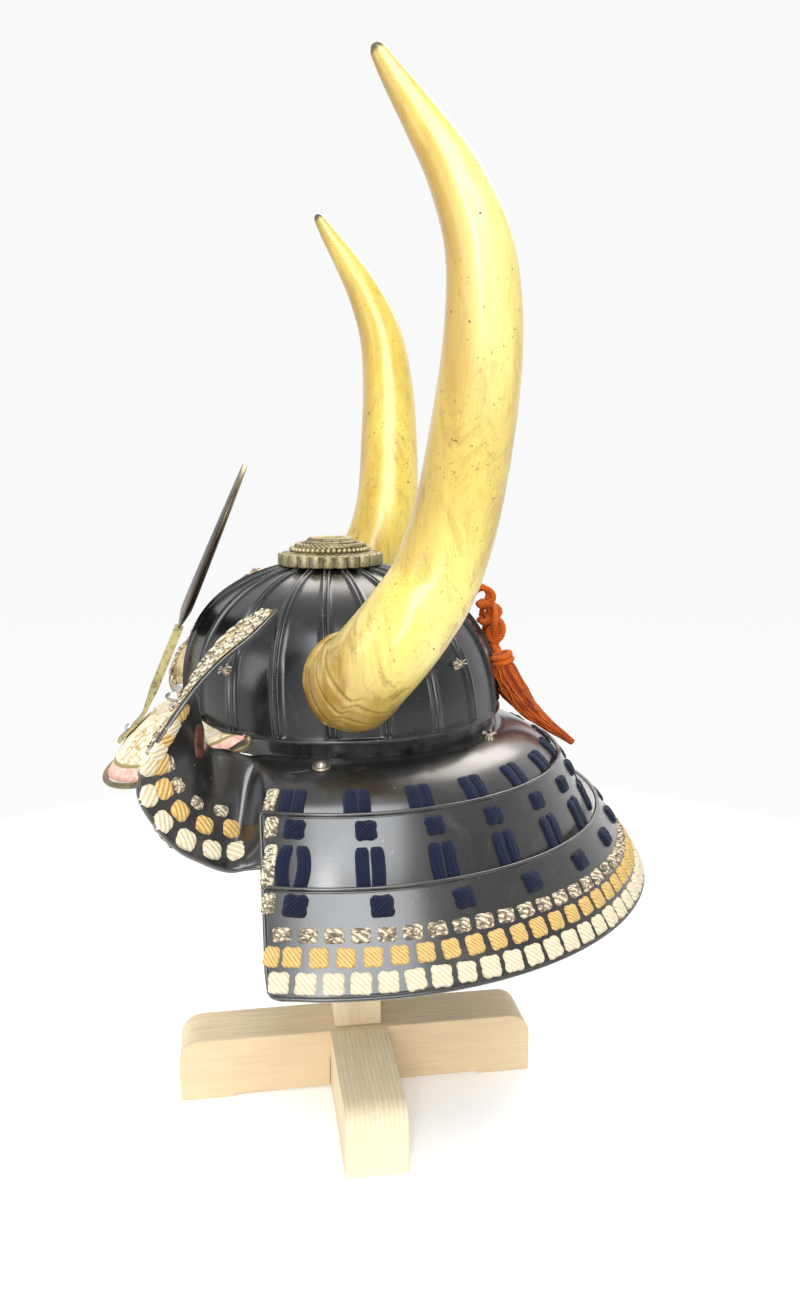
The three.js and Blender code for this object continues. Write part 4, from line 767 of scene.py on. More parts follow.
def lace(batch, path, width, thick, bow_out):
    """A flat braid over a path of (point, normal, sideways) in millimetres, its first end rounded."""
    travels = [0.0]
    for a, b in zip(path, path[1:]):
        travels.append(travels[-1] + (b[0] - a[0]).length)

    def spot(i, k):
        point, normal, sideways = path[i]
        travel = travels[i]
        t = travel / travels[-1]
        round_off = math.sqrt(min(t / 0.14, 1.0)) * 0.94 + 0.06
        narrow = width * (0.7 + 0.3 * math.sqrt(min(1, t / 0.12)))
        s = -1 + 2 * k / (LACE_COLUMNS - 1)
        turned = (s + 1) * math.pi * LACE_RIBS
        rib = abs(math.sin(turned / 2 + 0.25 * math.sin(travel * 0.5))) ** 0.6
        plait = 0.5 + 0.5 * math.cos(travel * 2 * math.pi / LACE_PLAIT + 2.2 * math.cos(turned))
        lift = thick * round_off * (1 - abs(s) ** 2.6) ** 0.5 * (0.8 + 0.14 * rib + 0.06 * plait)
        lift -= LACE_SINK if abs(s) == 1 else 0
        across = s * narrow / 2 + bow_out * math.sin(math.pi * min(t * 1.1, 1))
        # Low tone between ribs and plaits is painted shade in the braid's grooves.
        tone = (0.2 + 0.8 * rib) * (0.5 + 0.5 * plait)
        return point + sideways * across + normal * lift, (s * width / 2, travel), tone

    batch.grid(len(path), LACE_COLUMNS, spot)


# Bowl.
PLATE_POINTS = 8
PLATE_DIP = 0.1
# Across a rib, in millimetres from its middle: two raised beads with a groove between them.
RIB_PROFILE = [(-3.3, 0), (-2.7, 0.75), (-2.0, 1), (-1.2, 0.9), (-0.55, 0.4), (0, 0.3), (0.55, 0.4),
               (1.2, 0.9), (2.0, 1), (2.7, 0.75), (3.3, 0)]
RIB_HALF_WIDTH = RIB_PROFILE[-1][0]
# The bead round the rim: how far down and how far out.
RIM_PROFILE = [(RIM_BEAD_DEPTH, 0), (3.7, 1.2), (2.9, RIM_BEAD), (1.6, RIM_BEAD), (0.7, 1.2), (0.2, 0.2)]
OUTER_LEVELS = 44
OUTER_TOP = 0.992
INNER_LEVELS = [0.985, 0.9, 0.8, 0.68, 0.55, 0.4, 0.25, 0.1, 0.012]


def bowl_share(u):
    return (1 - u ** BOWL_ROUND_UP) ** (1 / BOWL_ROUND_OUT)


def bowl_point(angle, u, offset):
    """A point of the bowl: u is 0 at the rim and 1 at the top."""
    share = bowl_share(u)
    return around(angle, (BOWL_WIDTH / 2 + offset) * share, (BOWL_LENGTH / 2 + offset) * share,
                  RIM_HEIGHT + u * (BOWL_HEIGHT + offset), -BOWL_LEAN * u)


def bowl_columns(share):
    """Angles round the bowl and the rib's height at each, for a part of the full girth."""
    pitch = 360 / PLATE_COUNT
    degrees_per_mm = 360 / (math.pi * BOWL_WIDTH * share)
    foot = RIB_HALF_WIDTH * degrees_per_mm
    out = []
    for k in range(PLATE_COUNT):
        middle = (k + 0.5) * pitch
        out += [(middle + s * degrees_per_mm, h) for s, h in RIB_PROFILE]
        start, end = middle + foot, middle + pitch - foot
        for n in range(1, PLATE_POINTS):
            t = n / PLATE_POINTS
            out.append((start + (end - start) * t, -PLATE_DIP * math.sin(math.pi * t)))
    return out


def make_bowl():
    # Near the top the ribs would run into each other, so they narrow with the bowl there.
    least = (2 * RIB_HALF_WIDTH + 1.2) / (BOWL_WIDTH * math.sin(math.radians(360 / PLATE_COUNT)) / 2)

    def level_ring(down, offset):
        spots = [bowl_point(angle, 0, offset) for angle, _ in bowl_columns(1)]
        return [Vector((p.x, p.y, RIM_HEIGHT - down)) for p in spots]

    def ring(u, ribs, offset):
        columns = bowl_columns(max(bowl_share(u), least))
        return [bowl_point(a, u, h * RIB_HEIGHT * ribs + offset) for a, h in columns]

    levels = [0.012] + [1 - (1 - t / OUTER_LEVELS) ** 1.5 * 0.988 for t in range(1, OUTER_LEVELS)]
    rows = [level_ring(down, out) for down, out in RIM_PROFILE]
    rows += [ring(u, 1, 0) for u in levels if u < 0.989]
    rows += [ring(OUTER_TOP, 0, 0)] + [ring(u, 0, -BOWL_WALL) for u in INNER_LEVELS]
    rows.append(level_ring(RIM_BEAD_DEPTH, -BOWL_WALL))
    batch = Batch()
    batch.loft(rows, True)
    return batch.done("bowl_plates", BLACK, "lacquer", ("bowl",))


bowl = make_bowl()
bowl_map = ray_map(bowl)

# Crown fitting.
CROWN_BASE = Vector((0, -BOWL_LEAN, RIM_HEIGHT + BOWL_HEIGHT + FIT))
CROWN_SIDES = Vector((1, 0, 0)), Vector((0, 1, 0))
PETAL_DEPTH = 3.4
BEADS = 46
BEAD_CIRCLE = 31.2
BEAD_RADIUS = 2.0
BEAD_RISE = 1.9
ROPE_CIRCLE = 26.2
ROPE_RADIUS = 2.9
# The top collar's outline: radius, and height over the plate.
CUP_PROFILE = [(12, 0), (23.2, 0), (23.4, 3.2), (22.6, 4.6), (21.2, 4.9), (20.8, 5.6), (21.2, 6.2),
               (20.6, 7.0), (18.8, 7.5), (18.4, 8.6), (17.2, 9.8), (15.6, 10), (13.6, 9.2), (12, 8)]


def crown_ring(radius, z, count, ripple=None):
    """A circle about the crown's axis."""
    return [on_circle(CROWN_BASE + Vector((0, 0, z)), *CROWN_SIDES, radius + (ripple(a) if ripple else 0), a)
            for a in turns(count)]


def crown_edge_bottom():
    share = CROWN_PLATE_RADIUS / (BOWL_WIDTH / 2)
    u = (1 - share ** BOWL_ROUND_OUT) ** (1 / BOWL_ROUND_UP)
    return (u - 1) * BOWL_HEIGHT + RIB_HEIGHT + FIT


def make_petal_plate(bottom, top, cap):
    r = CROWN_PLATE_RADIUS
    inner = [(CROWN_HOLE_RADIUS, 0), (30, -1.2)]
    edge = [(r - 1.2, bottom + 0.2), (r - 0.3, bottom), (r, bottom + 0.6), (r, bottom + 3), (r, top - 1.2),
            (r - 0.4, top - 0.3)]
    shoulder = [(r - 1.4, top + 0.3), (r - 3, top + 0.5)]
    face = [(r - 3.4, top + 0.1), (r - 5.5, top + 0.5), (r * 0.72, cap - 0.1), (CROWN_HOLE_RADIUS, cap)]

    def petals(share):
        return lambda a: -PETAL_DEPTH * (1 - abs(math.sin(a * CROWN_PETALS / 2)) ** 0.62) * share

    rows = []
    for part, ripple in ((inner, None), (edge, petals(1)), (shoulder, petals(0.7)), (face, None)):
        rows += [crown_ring(radius, z, CROWN_PETALS * 10, ripple) for radius, z in part]
    plate = Batch()
    plate.loft(rows, True)
    plate.done("crown_petal_plate", BRONZE, "bronze", ("crown_plate",))


def make_crown():
    bottom = crown_edge_bottom()
    top = bottom + CROWN_PLATE_EDGE
    cap = max(top + CROWN_PLATE_RISE, CROWN_PLATE_RISE)
    make_petal_plate(bottom, top, cap)
    base = cap + FIT
    rings = Batch()
    for middle in crown_ring(BEAD_CIRCLE, base + 0.7, BEADS):
        rows = []
        for i in range(6):
            polar = math.pi * (i + 0.5) / 6
            heart = middle + Vector((0, 0, BEAD_RISE * math.cos(polar)))
            rows.append([on_circle(heart, *CROWN_SIDES, BEAD_RADIUS * math.sin(polar), a) for a in turns(8)])
        rings.loft(rows, caps=True)
    rope(rings, crown_ring(ROPE_CIRCLE, base + 3.0, 24), ROPE_RADIUS, *CROWN_TWIST, closed=True)
    rings.done("crown_rings", BRONZE, "bronze", ("crown_rope_ring",))
    cup = Batch()
    cup.loft([crown_ring(radius, base + z, 72) for radius, z in CUP_PROFILE], True)
    cup.done("crown_cup", BRONZE, "bronze", ("crown_collar",))


make_crown()


# Peak.
PEAK_SKIN_GAP = 0.2
RIM_SKIN = 0.35


def section_at(column, along):
    for a, b in zip(PEAK_SECTION, PEAK_SECTION[1:]):
        if along <= b[0]:
            share = (along - a[0]) / (b[0] - a[0])
            return a[column] + (b[column] - a[column]) * share
    return PEAK_SECTION[-1][column]


def peak_surface(u, v):
    stand = RIM_BEAD + RIB_HEIGHT + FIT + PEAK_WALL
    root = around(-u * PEAK_HALF_ANGLE, BOWL_WIDTH / 2 + stand, BOWL_LENGTH / 2 + stand, 0)
    end_y = -(BOWL_LENGTH / 2 + stand) * math.cos(math.radians(PEAK_HALF_ANGLE))
    front_y = -(BOWL_LENGTH / 2 + stand) - PEAK_REACH
    turn_by = math.radians(u * 90)
    edge = Vector((-PEAK_HALF_WIDTH * math.sin(turn_by), end_y - (end_y - front_y) * math.cos(turn_by), 0))
    fade = 1 - u * u
    root_z = RIM_HEIGHT - RIM_BEAD_DEPTH * 0.5 * (1 - fade) + PEAK_FLANGE * fade * fade
    edge_z = RIM_HEIGHT - PEAK_END_DEPTH - (PEAK_DROP - PEAK_END_DEPTH) * fade
    point = root.lerp(edge, section_at(1, v))
    flange = root_z + (RIM_HEIGHT - root_z) * min(v / PEAK_SECTION[1][0], 1)
    point.z = flange + (edge_z - RIM_HEIGHT) * max(section_at(2, v), 0)
    return point


def peak_face(u, v):
    full = (peak_surface(u, 0) - peak_surface(u, 1)).length
    gap = PEAK_RIM_TUBE + FIT + PEAK_SKIN_GAP
    return peak_surface(u, v * max(1 - gap / full, 0.4))


def peak_edge_value(u, v):
    """Distance from the rolled rim, in tenths of a metre."""
    return (peak_face(u, v) - peak_surface(u, 1)).length / 100


peak_us = [-1 + 2 * i / 90 for i in range(91)]
peak_vs = [0, 0.05, 0.1, 0.14, 0.2, 0.28, 0.36, 0.42, 0.5, 0.58, 0.66, 0.72, 0.79, 0.86, 0.93, 1]
shell_piece("peak_skin", peak_face, peak_us, peak_vs, lambda u, v: 0.0, PEAK_WALL, PEAK_LEATHER,
            ("peak",), {"edge": peak_edge_value})


def make_peak_rim():
    edge = [peak_surface(-1 + 2 * i / 60, 1) for i in range(61)]
    ends = []
    for side in (-1, 1):
        corner = peak_surface(side, 1)
        onward = (corner - peak_surface(side * 0.97, 1)).normalized() * (PEAK_RIM_TUBE + FIT + 0.5)
        ends.append((corner + onward, peak_surface(side, 0.1) + onward))
    points = [ends[0][1], ends[0][0], *edge[1:-1], ends[1][0], ends[1][1]]
    batch = Batch()
    rope(batch, points, PEAK_RIM_TUBE + RIM_SKIN, *ROD)
    batch.done("peak_rolled_rim", DARK_BRASS, "dark_brass", ("peak_rim",))


make_peak_rim()


# Front crest.
PRONG_THICKNESS = 2.6
PRONG_HEIGHT = 80
CREST_RADIUS = 72
CREST_LEAN = math.radians(23.6)
CREST_THICKNESS = 8.6
CREST_TIP_THICKNESS = 3.4
CREST_BODY_WIDTH = 30
CREST_GAP = 20
CREST_STATIONS, CREST_SIDES = 120, 24
CREST_EDGE = 0.9


def make_crest():
    """A crescent with sharp edges, thinner towards its tips."""
    lift = surface_normal(peak_surface, 0, 0.55, 1e-3) * (PRONG_THICKNESS / 2 + 1.1)
    heel = peak_surface(0, 0.46) + lift
    lean = Vector((0, math.sin(CREST_LEAN), math.cos(CREST_LEAN)))
    ahead = Vector((0, -math.cos(CREST_LEAN), math.sin(CREST_LEAN)))
    base = heel + lean * (PRONG_HEIGHT + FIT)
    half = CREST_BODY_WIDTH / 2
    points, rises = [], []
    for i in range(CREST_STATIONS + 1):
        t = i / CREST_STATIONS
        angle = math.radians(90 + CREST_GAP + t * (360 - 2 * CREST_GAP))
        rise = (1 + math.sin(angle)) / 2
        ridge = CREST_THICKNESS + (CREST_TIP_THICKNESS - CREST_THICKNESS) * rise
        blunt = min(1.0, math.sqrt(max(min(t, 1 - t), 0.0002) / 0.012))
        for a in turns(CREST_SIDES):
            across = math.cos(a)
            depth = (ridge / 2 - CREST_EDGE) * blunt * (1 - abs(across)) ** 0.8
            depth += CREST_EDGE * (1 - abs(across) ** 6) ** 0.5
            share = 0.5 - across * 0.5 * blunt
            radius = CREST_RADIUS - share * half
            up = CREST_RADIUS + share * half + radius * math.sin(angle)
            points.append(place(base + Vector((radius * math.cos(angle), 0, 0)) + lean * up
                                + ahead * (depth if math.sin(a) >= 0 else -depth)))
            rises.append(rise)
    last = CREST_STATIONS * CREST_SIDES
    faces = quads(CREST_STATIONS + 1, CREST_SIDES)
    faces += [tuple(range(CREST_SIDES))[::-1], tuple(last + k for k in range(CREST_SIDES))]
    add_mesh("crescent_crest", points, faces, CREST, ("front_crest",), None, {"along": rises})


make_crest()


# Neck guard.
GUARD_LONGER = 4
FLARE_LONG = 0.97
GUARD_BACK = 1.5
FLARE_AHEAD = 0.02
PLATE_SWELL = 0.8
BEAD_WIDTH = 2.7
BEAD_HEIGHT = LAME_RIM_HEIGHT + 0.3
GROOVE_WIDTH = 1.1
GROOVE_DEPTH = 0.35


def guard_edge(width, drop):
    """An edge round the guard: half its width, half its length, height, and how far back its middle is."""
    flare = (width - GUARD_TOP_WIDTH) / 2
    return (width / 2, GUARD_TOP_WIDTH / 2 + GUARD_LONGER + flare * FLARE_LONG, RIM_HEIGHT - drop,
            GUARD_BACK - flare * FLARE_AHEAD)


def edge_point(edge, angle):
    return around(angle, *edge)


def front_angle(edge, ahead=GUARD_FRONT):
    return math.degrees(math.acos(min(max((ahead + edge[3]) / edge[1], -0.98), 0.98)))


def lame_surface(top, bottom):
    def surface(u, v):
        edge = [a + (b - a) * v for a, b in zip(top, bottom)]
        swell = math.sin(v * math.pi) * LAME_WALL * PLATE_SWELL
        edge[0] += swell
        edge[1] += swell
        return edge_point(edge, 180 - u * (180 - front_angle(edge)))
    return surface


TOP_EDGE = guard_edge(GUARD_TOP_WIDTH, GUARD_TOP_DROP)
MIDDLE_EDGE = guard_edge(GUARD_MIDDLE_WIDTH, GUARD_MIDDLE_DROP)
LOWER_EDGE = guard_edge(GUARD_LOWER_WIDTH, GUARD_LOWER_DROP)
HEM_EDGE = guard_edge(GUARD_HEM_WIDTH, GUARD_HEM_DROP)


def bead(distance):
    """The height of a rolled rim at a distance from the plate's edge, with a groove behind it."""
    if distance >= BEAD_WIDTH + GROOVE_WIDTH:
        return 0.0
    if distance >= BEAD_WIDTH:
        return -GROOVE_DEPTH * math.sin((distance - BEAD_WIDTH) / GROOVE_WIDTH * math.pi)
    return BEAD_HEIGHT * math.sqrt(max(1 - (2 * distance / BEAD_WIDTH - 1) ** 2, 0))


def rounded_corners(surface, depth, girth, top_radius, bottom_radius):
    """The surface with its front corners cut to arcs."""
    def shaped(u, v):
        inset = 0.0
        for distance, radius in ((v * depth, top_radius), ((1 - v) * depth, bottom_radius)):
            if distance < radius:
                inset = radius - math.sqrt(radius ** 2 - (radius - distance) ** 2)
        return surface(u * (1 - inset / girth), v)
    return shaped


HALF_TURN_SHARE = 0.62
LAME_COLUMNS = 110
TOP_CORNER = 6
HEM_CORNER = 9
SQUARE_CORNER = 0.01
# Distances from a lame's edge where its rim needs points.
NEAR_EDGE = [0, 0.2, 0.6, 1.35, 2.1, 2.5, 2.7, 3.0, 3.4, 3.8, 4.6]


def guard_plate(number, surface, us, vs, outer):
    return shell_piece(f"guard_plate_{number}", surface, sorted(set(us)), sorted(set(vs)), outer, LAME_WALL,
                       GUARD, (f"lame_{number}",))


def make_lame(number, top, bottom, rim_below):
    depth = math.hypot(bottom[0] - top[0], bottom[2] - top[2])
    girth = math.pi * (top[0] + bottom[0]) / 2 * HALF_TURN_SHARE
    us = [-1 + d / girth for d in NEAR_EDGE]
    us += [-1 + 2 * i / LAME_COLUMNS for i in range(3, LAME_COLUMNS - 2)]
    us += [1 - d / girth for d in NEAR_EDGE]
    vs = [d / depth for d in NEAR_EDGE] + [0.16 + 0.1 * i for i in range(7)]
    vs += [1 - d / depth for d in NEAR_EDGE] if rim_below else [0.88, 1]

    def outer(u, v):
        beads = [bead(v * depth), bead((1 - abs(u)) * girth)]
        if rim_below:
            beads.append(bead((1 - v) * depth))
        return max(beads, key=abs)

    low_corner = HEM_CORNER if rim_below else SQUARE_CORNER
    surface = rounded_corners(lame_surface(top, bottom), depth, girth, TOP_CORNER, low_corner)
    return guard_plate(number, surface, us, vs, outer)


# The second lame runs on behind the third.
HIDDEN_EDGE = guard_edge(GUARD_LOWER_WIDTH - 6, GUARD_LOWER_DROP + LAME_HIDDEN_DROP)
lame_2 = make_lame(2, MIDDLE_EDGE, HIDDEN_EDGE, False)
lame_3 = make_lame(3, LOWER_EDGE, HEM_EDGE, True)
# Stations of the top lame before its turnback, as shares of the way from the back to the front.
TOP_LAME_SHARES = (0.14, 0.3, 0.46, 0.62, 0.76, 0.89, 1)


def turnback_spot(out, ahead, up):
    return Vector((BOWL_WIDTH / 2 + out * TURNBACK_REACH, -ahead * TURNBACK_FORWARD,
                   RIM_HEIGHT - GUARD_LOWER_DROP - 2 + up * TURNBACK_RISE))


def top_lame_rails():
    """Three lines from the right turnback's end round the back to the left's: inner, middle and outer."""
    under = LAME_WALL + LAME_RIM_HEIGHT + 3
    middle = guard_edge(GUARD_MIDDLE_WIDTH - 2 * under, GUARD_MIDDLE_DROP)
    bottom = guard_edge(GUARD_MIDDLE_WIDTH + 2, GUARD_LOWER_DROP + 2)
    edges = (TOP_EDGE, middle, bottom)
    left = [[edge_point(e, 180 - share * (180 - front_angle(e, GUARD_FRONT - 8))) for e in edges]
            for share in TOP_LAME_SHARES]
    for row, (down, ahead) in zip(TURNBACK_EDGES, TURNBACK_SAG):
        inside, outside = turnback_spot(*row[:3]), turnback_spot(*row[3:])
        between = inside.lerp(outside, 0.5)
        between.y -= ahead * TURNBACK_REACH
        between.z -= down * TURNBACK_REACH
        left.append([inside, between, outside])
    right = [[mirror_x(p, -1) for p in row] for row in left][::-1]
    rows = right + [[edge_point(e, 180) for e in edges]] + left
    return [[row[k] for row in rows] for k in range(3)]


RAILS = top_lame_rails()
RAIL_STATIONS = len(TURNBACK_EDGES) + len(TOP_LAME_SHARES)
TOP_LAME_DEPTH = 92.0


def top_lame_surface(u, v):
    a, b, c = [catmull(rail, (u + 1) / 2) for rail in RAILS]
    return a * (2 * (v - 0.5) * (v - 1)) + b * (-4 * v * (v - 1)) + c * (2 * v * (v - 0.5))


def make_top_lame():
    columns = RAIL_STATIONS * 8
    us = {round(i / columns, 6) for i in range(-columns, columns + 1)}
    last = [1 - d / RAIL_STATIONS for d in (0.02, 0.05, 0.09, 0.2)]
    us = us | set(last) | {-u for u in last}
    vs = [i / 16 for i in range(16)]
    vs += [1 - d / TOP_LAME_DEPTH for d in (0, 0.3, 0.8, 1.5, 2.3, 2.9, 3.3, 3.6, 4.6)]
    return guard_plate(1, top_lame_surface, us, vs, lambda u, v: bead((1 - v) * TOP_LAME_DEPTH))


lame_1 = make_top_lame()
map_1, map_2, map_3 = ray_map(lame_1), ray_map(lame_2), ray_map(lame_3)

# Turnback leather and its braided edge.
LEATHER_FIRST = (RAIL_STATIONS - len(TURNBACK_EDGES) + 3) / RAIL_STATIONS
LEATHER_LAST = 1 - 0.12 / RAIL_STATIONS
LEATHER_GAP = 0.7
LEATHER_THICKNESS = 1.0
LEATHER_SHARES = 60
BRAID_GAP = 2.6
# The cords of the turnback's braid: place across the leather, radius.
BRAID_CORDS = ((0.955, 2.0), (0.72, 2.2), (0.42, 1.9), (0.05, 1.8))
FRAY_COUNT = 34
FRAY_LENGTH = 3.5


def leather_u(t):
    return LEATHER_FIRST + (LEATHER_LAST - LEATHER_FIRST) * t


def inside_turnback(u, v, depth, side):
    """A point of the turnback's inner side at a depth from the top lame's outside."""
    q = top_lame_surface(u, v) + surface_normal(top_lame_surface, u, v) * -depth
    return mirror_x(q, side)


def make_leather(side, name):
    us = [leather_u(i / LEATHER_SHARES) for i in range(LEATHER_SHARES + 1)]
    vs = [0.03 + 0.945 * i / 14 for i in range(15)]
    near = LAME_WALL + LEATHER_GAP
    points, uv = [], []
    for layer in (0, 1):
        for v in vs:
            for u in us:
                puff = 0.25 * math.sin(u * 160) * math.sin(v * 12)
                depth = near + (LEATHER_THICKNESS + puff) * layer
                points.append(place(inside_turnback(u, v, depth, side)))
                uv.append((u * 300, v * 90))
    add_mesh(f"turnback_skin_{name}", points, shell_faces(len(us), len(vs)), LEATHER,
             (f"turnback_leather_{name}",), uv)


def make_edge_braid(side, name):
    """Flecked cords on the turnback's leather, with frayed ends."""
    def spot(t, v):
        return inside_turnback(leather_u(t), v, LAME_WALL + BRAID_GAP, side)

    batch = Batch()
    for row, (v, radius) in enumerate(BRAID_CORDS):
        phase = 1.7 * row
        points = []
        for i in range(61):
            t = i / 60
            wander = 0.035 * math.sin(21 * t + phase) + 0.02 * math.sin(47 * t + 2 * phase)
            pinch = 0.5 + (v - 0.5) * (1 if t < 0.9 else 1 - 4 * (t - 0.9))
            points.append(spot(t, min(max(pinch + wander, 0.03), 0.97)))
        rope(batch, points, radius, strands=2, pitch=15 + 2 * row, sides=16, step=1.2, depth=0.5)
    for _ in range(FRAY_COUNT):
        t = random.uniform(0.04, 1)
        start = spot(t, random.uniform(0.1, 0.95))
        loose = Vector([random.uniform(-1, 1) for _ in range(3)]) * FRAY_LENGTH
        between = start + loose * 0.5 + Vector((0.8 * side, 0, 0.6))
        rope(batch, [start, between, start + loose], 0.5, *FRAY)
    batch.done(f"turnback_braid_{name}", FLECK, "pale_lace")


for side, name in SIDES:
    make_leather(side, name)
    make_edge_braid(side, name)


# Horns.
HORN_CUTS = (0.7, 1.3, 1.9)
HORN_END = 0.982
HORN_BLUNT = 0.958
HORN_SIDES, HORN_STEPS = 56, 220
HORN_FINE = 600


def inside_bowl(point):
    """Whether a point lies in the bowl grown by its ribs and the gap."""
    grown = RIB_HEIGHT + FIT
    u = min(max((point.z - RIM_HEIGHT) / (BOWL_HEIGHT + grown), 0.012), 0.999)
    share = bowl_share(u)
    return ((point.x / (BOWL_WIDTH / 2 + grown)) ** 2
            + ((point.y + BOWL_LEAN * u) / (BOWL_LENGTH / 2 + grown)) ** 2 < share ** 2)


def horn_start(skin, n):
    """Where one line of the horn's skin leaves the bowl."""
    low = max([k for k in range(151) if inside_bowl(skin(k / 500, n))], default=0) / 500
    high = low + 0.002
    for _ in range(12):
        middle = (low + high) / 2
        if inside_bowl(skin(middle, n)):
            low = middle
        else:
            high = middle
    return high


def make_horn(side, name):
    root = Vector((BOWL_WIDTH / 2, 0, RIM_HEIGHT + HORN_BASE_HEIGHT))
    rows = [root + Vector((out * HORN_SPREAD, back * HORN_SWEEP, up * HORN_RISE))
            for out, back, up, _ in HORN_LINE]
    radii = [row[3] for row in HORN_LINE]
    centres = [catmull(rows, i / HORN_FINE) for i in range(HORN_FINE + 1)]
    frames = frames_along(centres, Vector((0, 1, 0)))

    def skin(t, n):
        i = min(int(t * HORN_FINE), HORN_FINE - 1)
        centre, across, up = (a.lerp(b, t * HORN_FINE - i) for a, b in zip(frames[i], frames[i + 1]))
        radius = HORN_BASE_RADIUS * catmull(radii, t)
        for cut in HORN_CUTS:
            past = t * (len(HORN_LINE) - 1) - cut
            radius -= 1.3 * math.exp(-(past / 0.05) ** 2) - 0.35 * math.exp(-((past - 0.14) / 0.09) ** 2)
        a = 2 * math.pi * n / HORN_SIDES
        radius *= 1 + 0.007 * math.sin(3 * a + 5 * t) + 0.004 * math.sin(7 * a - 9 * t)
        return on_circle(centre, across, up, radius, a)

    starts = [horn_start(skin, n) for n in range(HORN_SIDES)]
    points, along = [], []
    for i in range(HORN_STEPS + 1):
        for n, start in enumerate(starts):
            t = start + (HORN_END - start) * (i / HORN_STEPS)
            q = skin(t, n)
            blunt = (t - HORN_BLUNT) / (HORN_END - HORN_BLUNT)
            if blunt > 0:
                heart = centres[min(int(t * HORN_FINE), HORN_FINE)]
                q = heart + (q - heart) * math.sqrt(max(1 - blunt ** 2.4, 0.0))
            points.append(q)
            along.append(t)
    foot = sum((skin(start, n) for n, start in enumerate(starts)), Vector((0, 0, 0))) / HORN_SIDES
    points += [centres[int(HORN_END * HORN_FINE)], foot]
    along += [1.0, 0.0]
    top, base = len(points) - 2, len(points) - 1
    faces = quads(HORN_STEPS + 1, HORN_SIDES)
    last = HORN_STEPS * HORN_SIDES
    for n in range(HORN_SIDES):
        m = (n + 1) % HORN_SIDES
        faces += [(last + n, last + m, top), (m, n, base)]
    points = [place(mirror_x(q, side)) for q in points]
    add_mesh(f"horn_shell_{name}", points, faces, HORN, (f"horn_{name}",), None,
             {"along": along})


for side, name in SIDES:
    make_horn(side, name)


# Laces and knots of the guard.
def guard_angle(angle, side):
    """The angle itself for the wearer's left, mirrored for the right."""
    return angle if side > 0 else 360 - angle


def side_direction(normal, angle):
    a = math.radians(angle)
    return flat_on(Vector((math.cos(a), math.sin(a), 0)), normal)


LACE_STATIONS = 14


def guard_lace(batch, tree, angle, top, bottom, width, thick, offset=0.0, bow_out=0.0):
    """A lace down the guard at an angle, set off sideways from it."""
    path = []
    for i in range(LACE_STATIONS + 1):
        z = top + (bottom - top) * i / LACE_STATIONS
        point, _ = hit_side(tree, angle, z)
        beside = angle + math.degrees(offset / math.hypot(point.x, point.y))
        point, normal = hit_side(tree, beside, z)
        path.append((point, normal, side_direction(normal, angle)))
    lace(batch, path, width, thick, bow_out)


def guard_knot(batch, tree, angle, z, size, **style):
    point, normal = hit_side(tree, angle, z)
    pad(batch, point, normal, side_direction(normal, angle), size, **style)


NAVY_LAST = 7
NAVY_GAPS = 4.7, 4.9
NAVY_SLACK = 0.9
FRONT_BOW = 2.6
NAVY_KNOT = {"ridges": 11, "lobes": 0.12, "cross": True}


def make_navy_column(laces, knots, k, side):
    """Two pairs of laces with a cross-knot between them and one below. Column 0 is at the front."""
    def at(start):
        return guard_angle(start + (180 - start) * k / NAVY_LAST, side)

    first_top = 309.5 - 2.5 * max(0, k - 4) / 3
    for half in (-1, 1):
        guard_lace(laces, map_1, at(71.7), first_top, 294, 10.0, 2.6, half * NAVY_GAPS[0])
        bowed = FRONT_BOW * half if k == 0 else random.uniform(0, NAVY_SLACK) * half
        guard_lace(laces, map_2, at(74.0), 280 - 1.1 * k, 251, 9.8, 2.9, half * NAVY_GAPS[1], bowed)
    guard_knot(knots, map_2, at(73.5), 289.3 - 0.8 * k, (16.6, 15.4, 3.6), **NAVY_KNOT)
    guard_knot(knots, map_3, at(75.6), 250.3 - 0.9 * k, (17.6, 16.4, 3.6), **NAVY_KNOT)


navy_laces, navy_knots = Batch(), Batch()
for k in range(NAVY_LAST + 1):
    for side, _ in SIDES[:1] if k == NAVY_LAST else SIDES:
        make_navy_column(navy_laces, navy_knots, k, side)
navy_laces.done("navy_laces", NAVY, "navy_lace")
navy_knots.done("navy_knots", NAVY, "navy_lace")

# Rows of knots above the hem: first angle, degrees between knots, height in front, fall towards the back,
# width, height and thickness of a knot, its ridges and lobes.
HEM_ROWS = [
    ("flecked", 73.9, 4.19, 235.4, 4.4, (14.2, 10.8, 2.9), 5, 0.14),
    ("tan", 75.9, 4.12, 224.2, 3.0, (13.6, 13.8, 2.9), 9, 0.12),
    ("cream", 74.2, 4.03, 211.0, 2.6, (15.2, 15.0, 2.9), 8, 0.14),
]
# Knots on the turnback's outer face, by their places in the photograph. Each is mirrored.
TURNBACK_KNOTS = [
    ("cream", [(236, 851), (212, 850), (186, 840), (163, 822), (148, 796), (149, 766)]),
    ("tan", [(231, 829), (204, 825), (180, 811), (164, 789), (161, 764)]),
    ("flecked", [(221, 811), (197, 803), (178, 785), (169, 764)]),
    ("tan", [(167, 737), (182, 713), (210, 690)]),
    ("cream", [(158, 752), (172, 728)]),
]
KNOT_SIZE = {"cream": (16.0, 14.5, 3.4), "tan": (15.5, 13.5, 3.2), "flecked": (12.5, 9.0, 2.8)}
braids = {"flecked": Batch(), "tan": Batch(), "cream": Batch()}


def both_sides(point, normal, along):
    """A place on the helmet and its mirror image, as (side, point, normal, along)."""
    return [(side, *(mirror_x(v, side) for v in (point, normal, along))) for side, _ in SIDES]


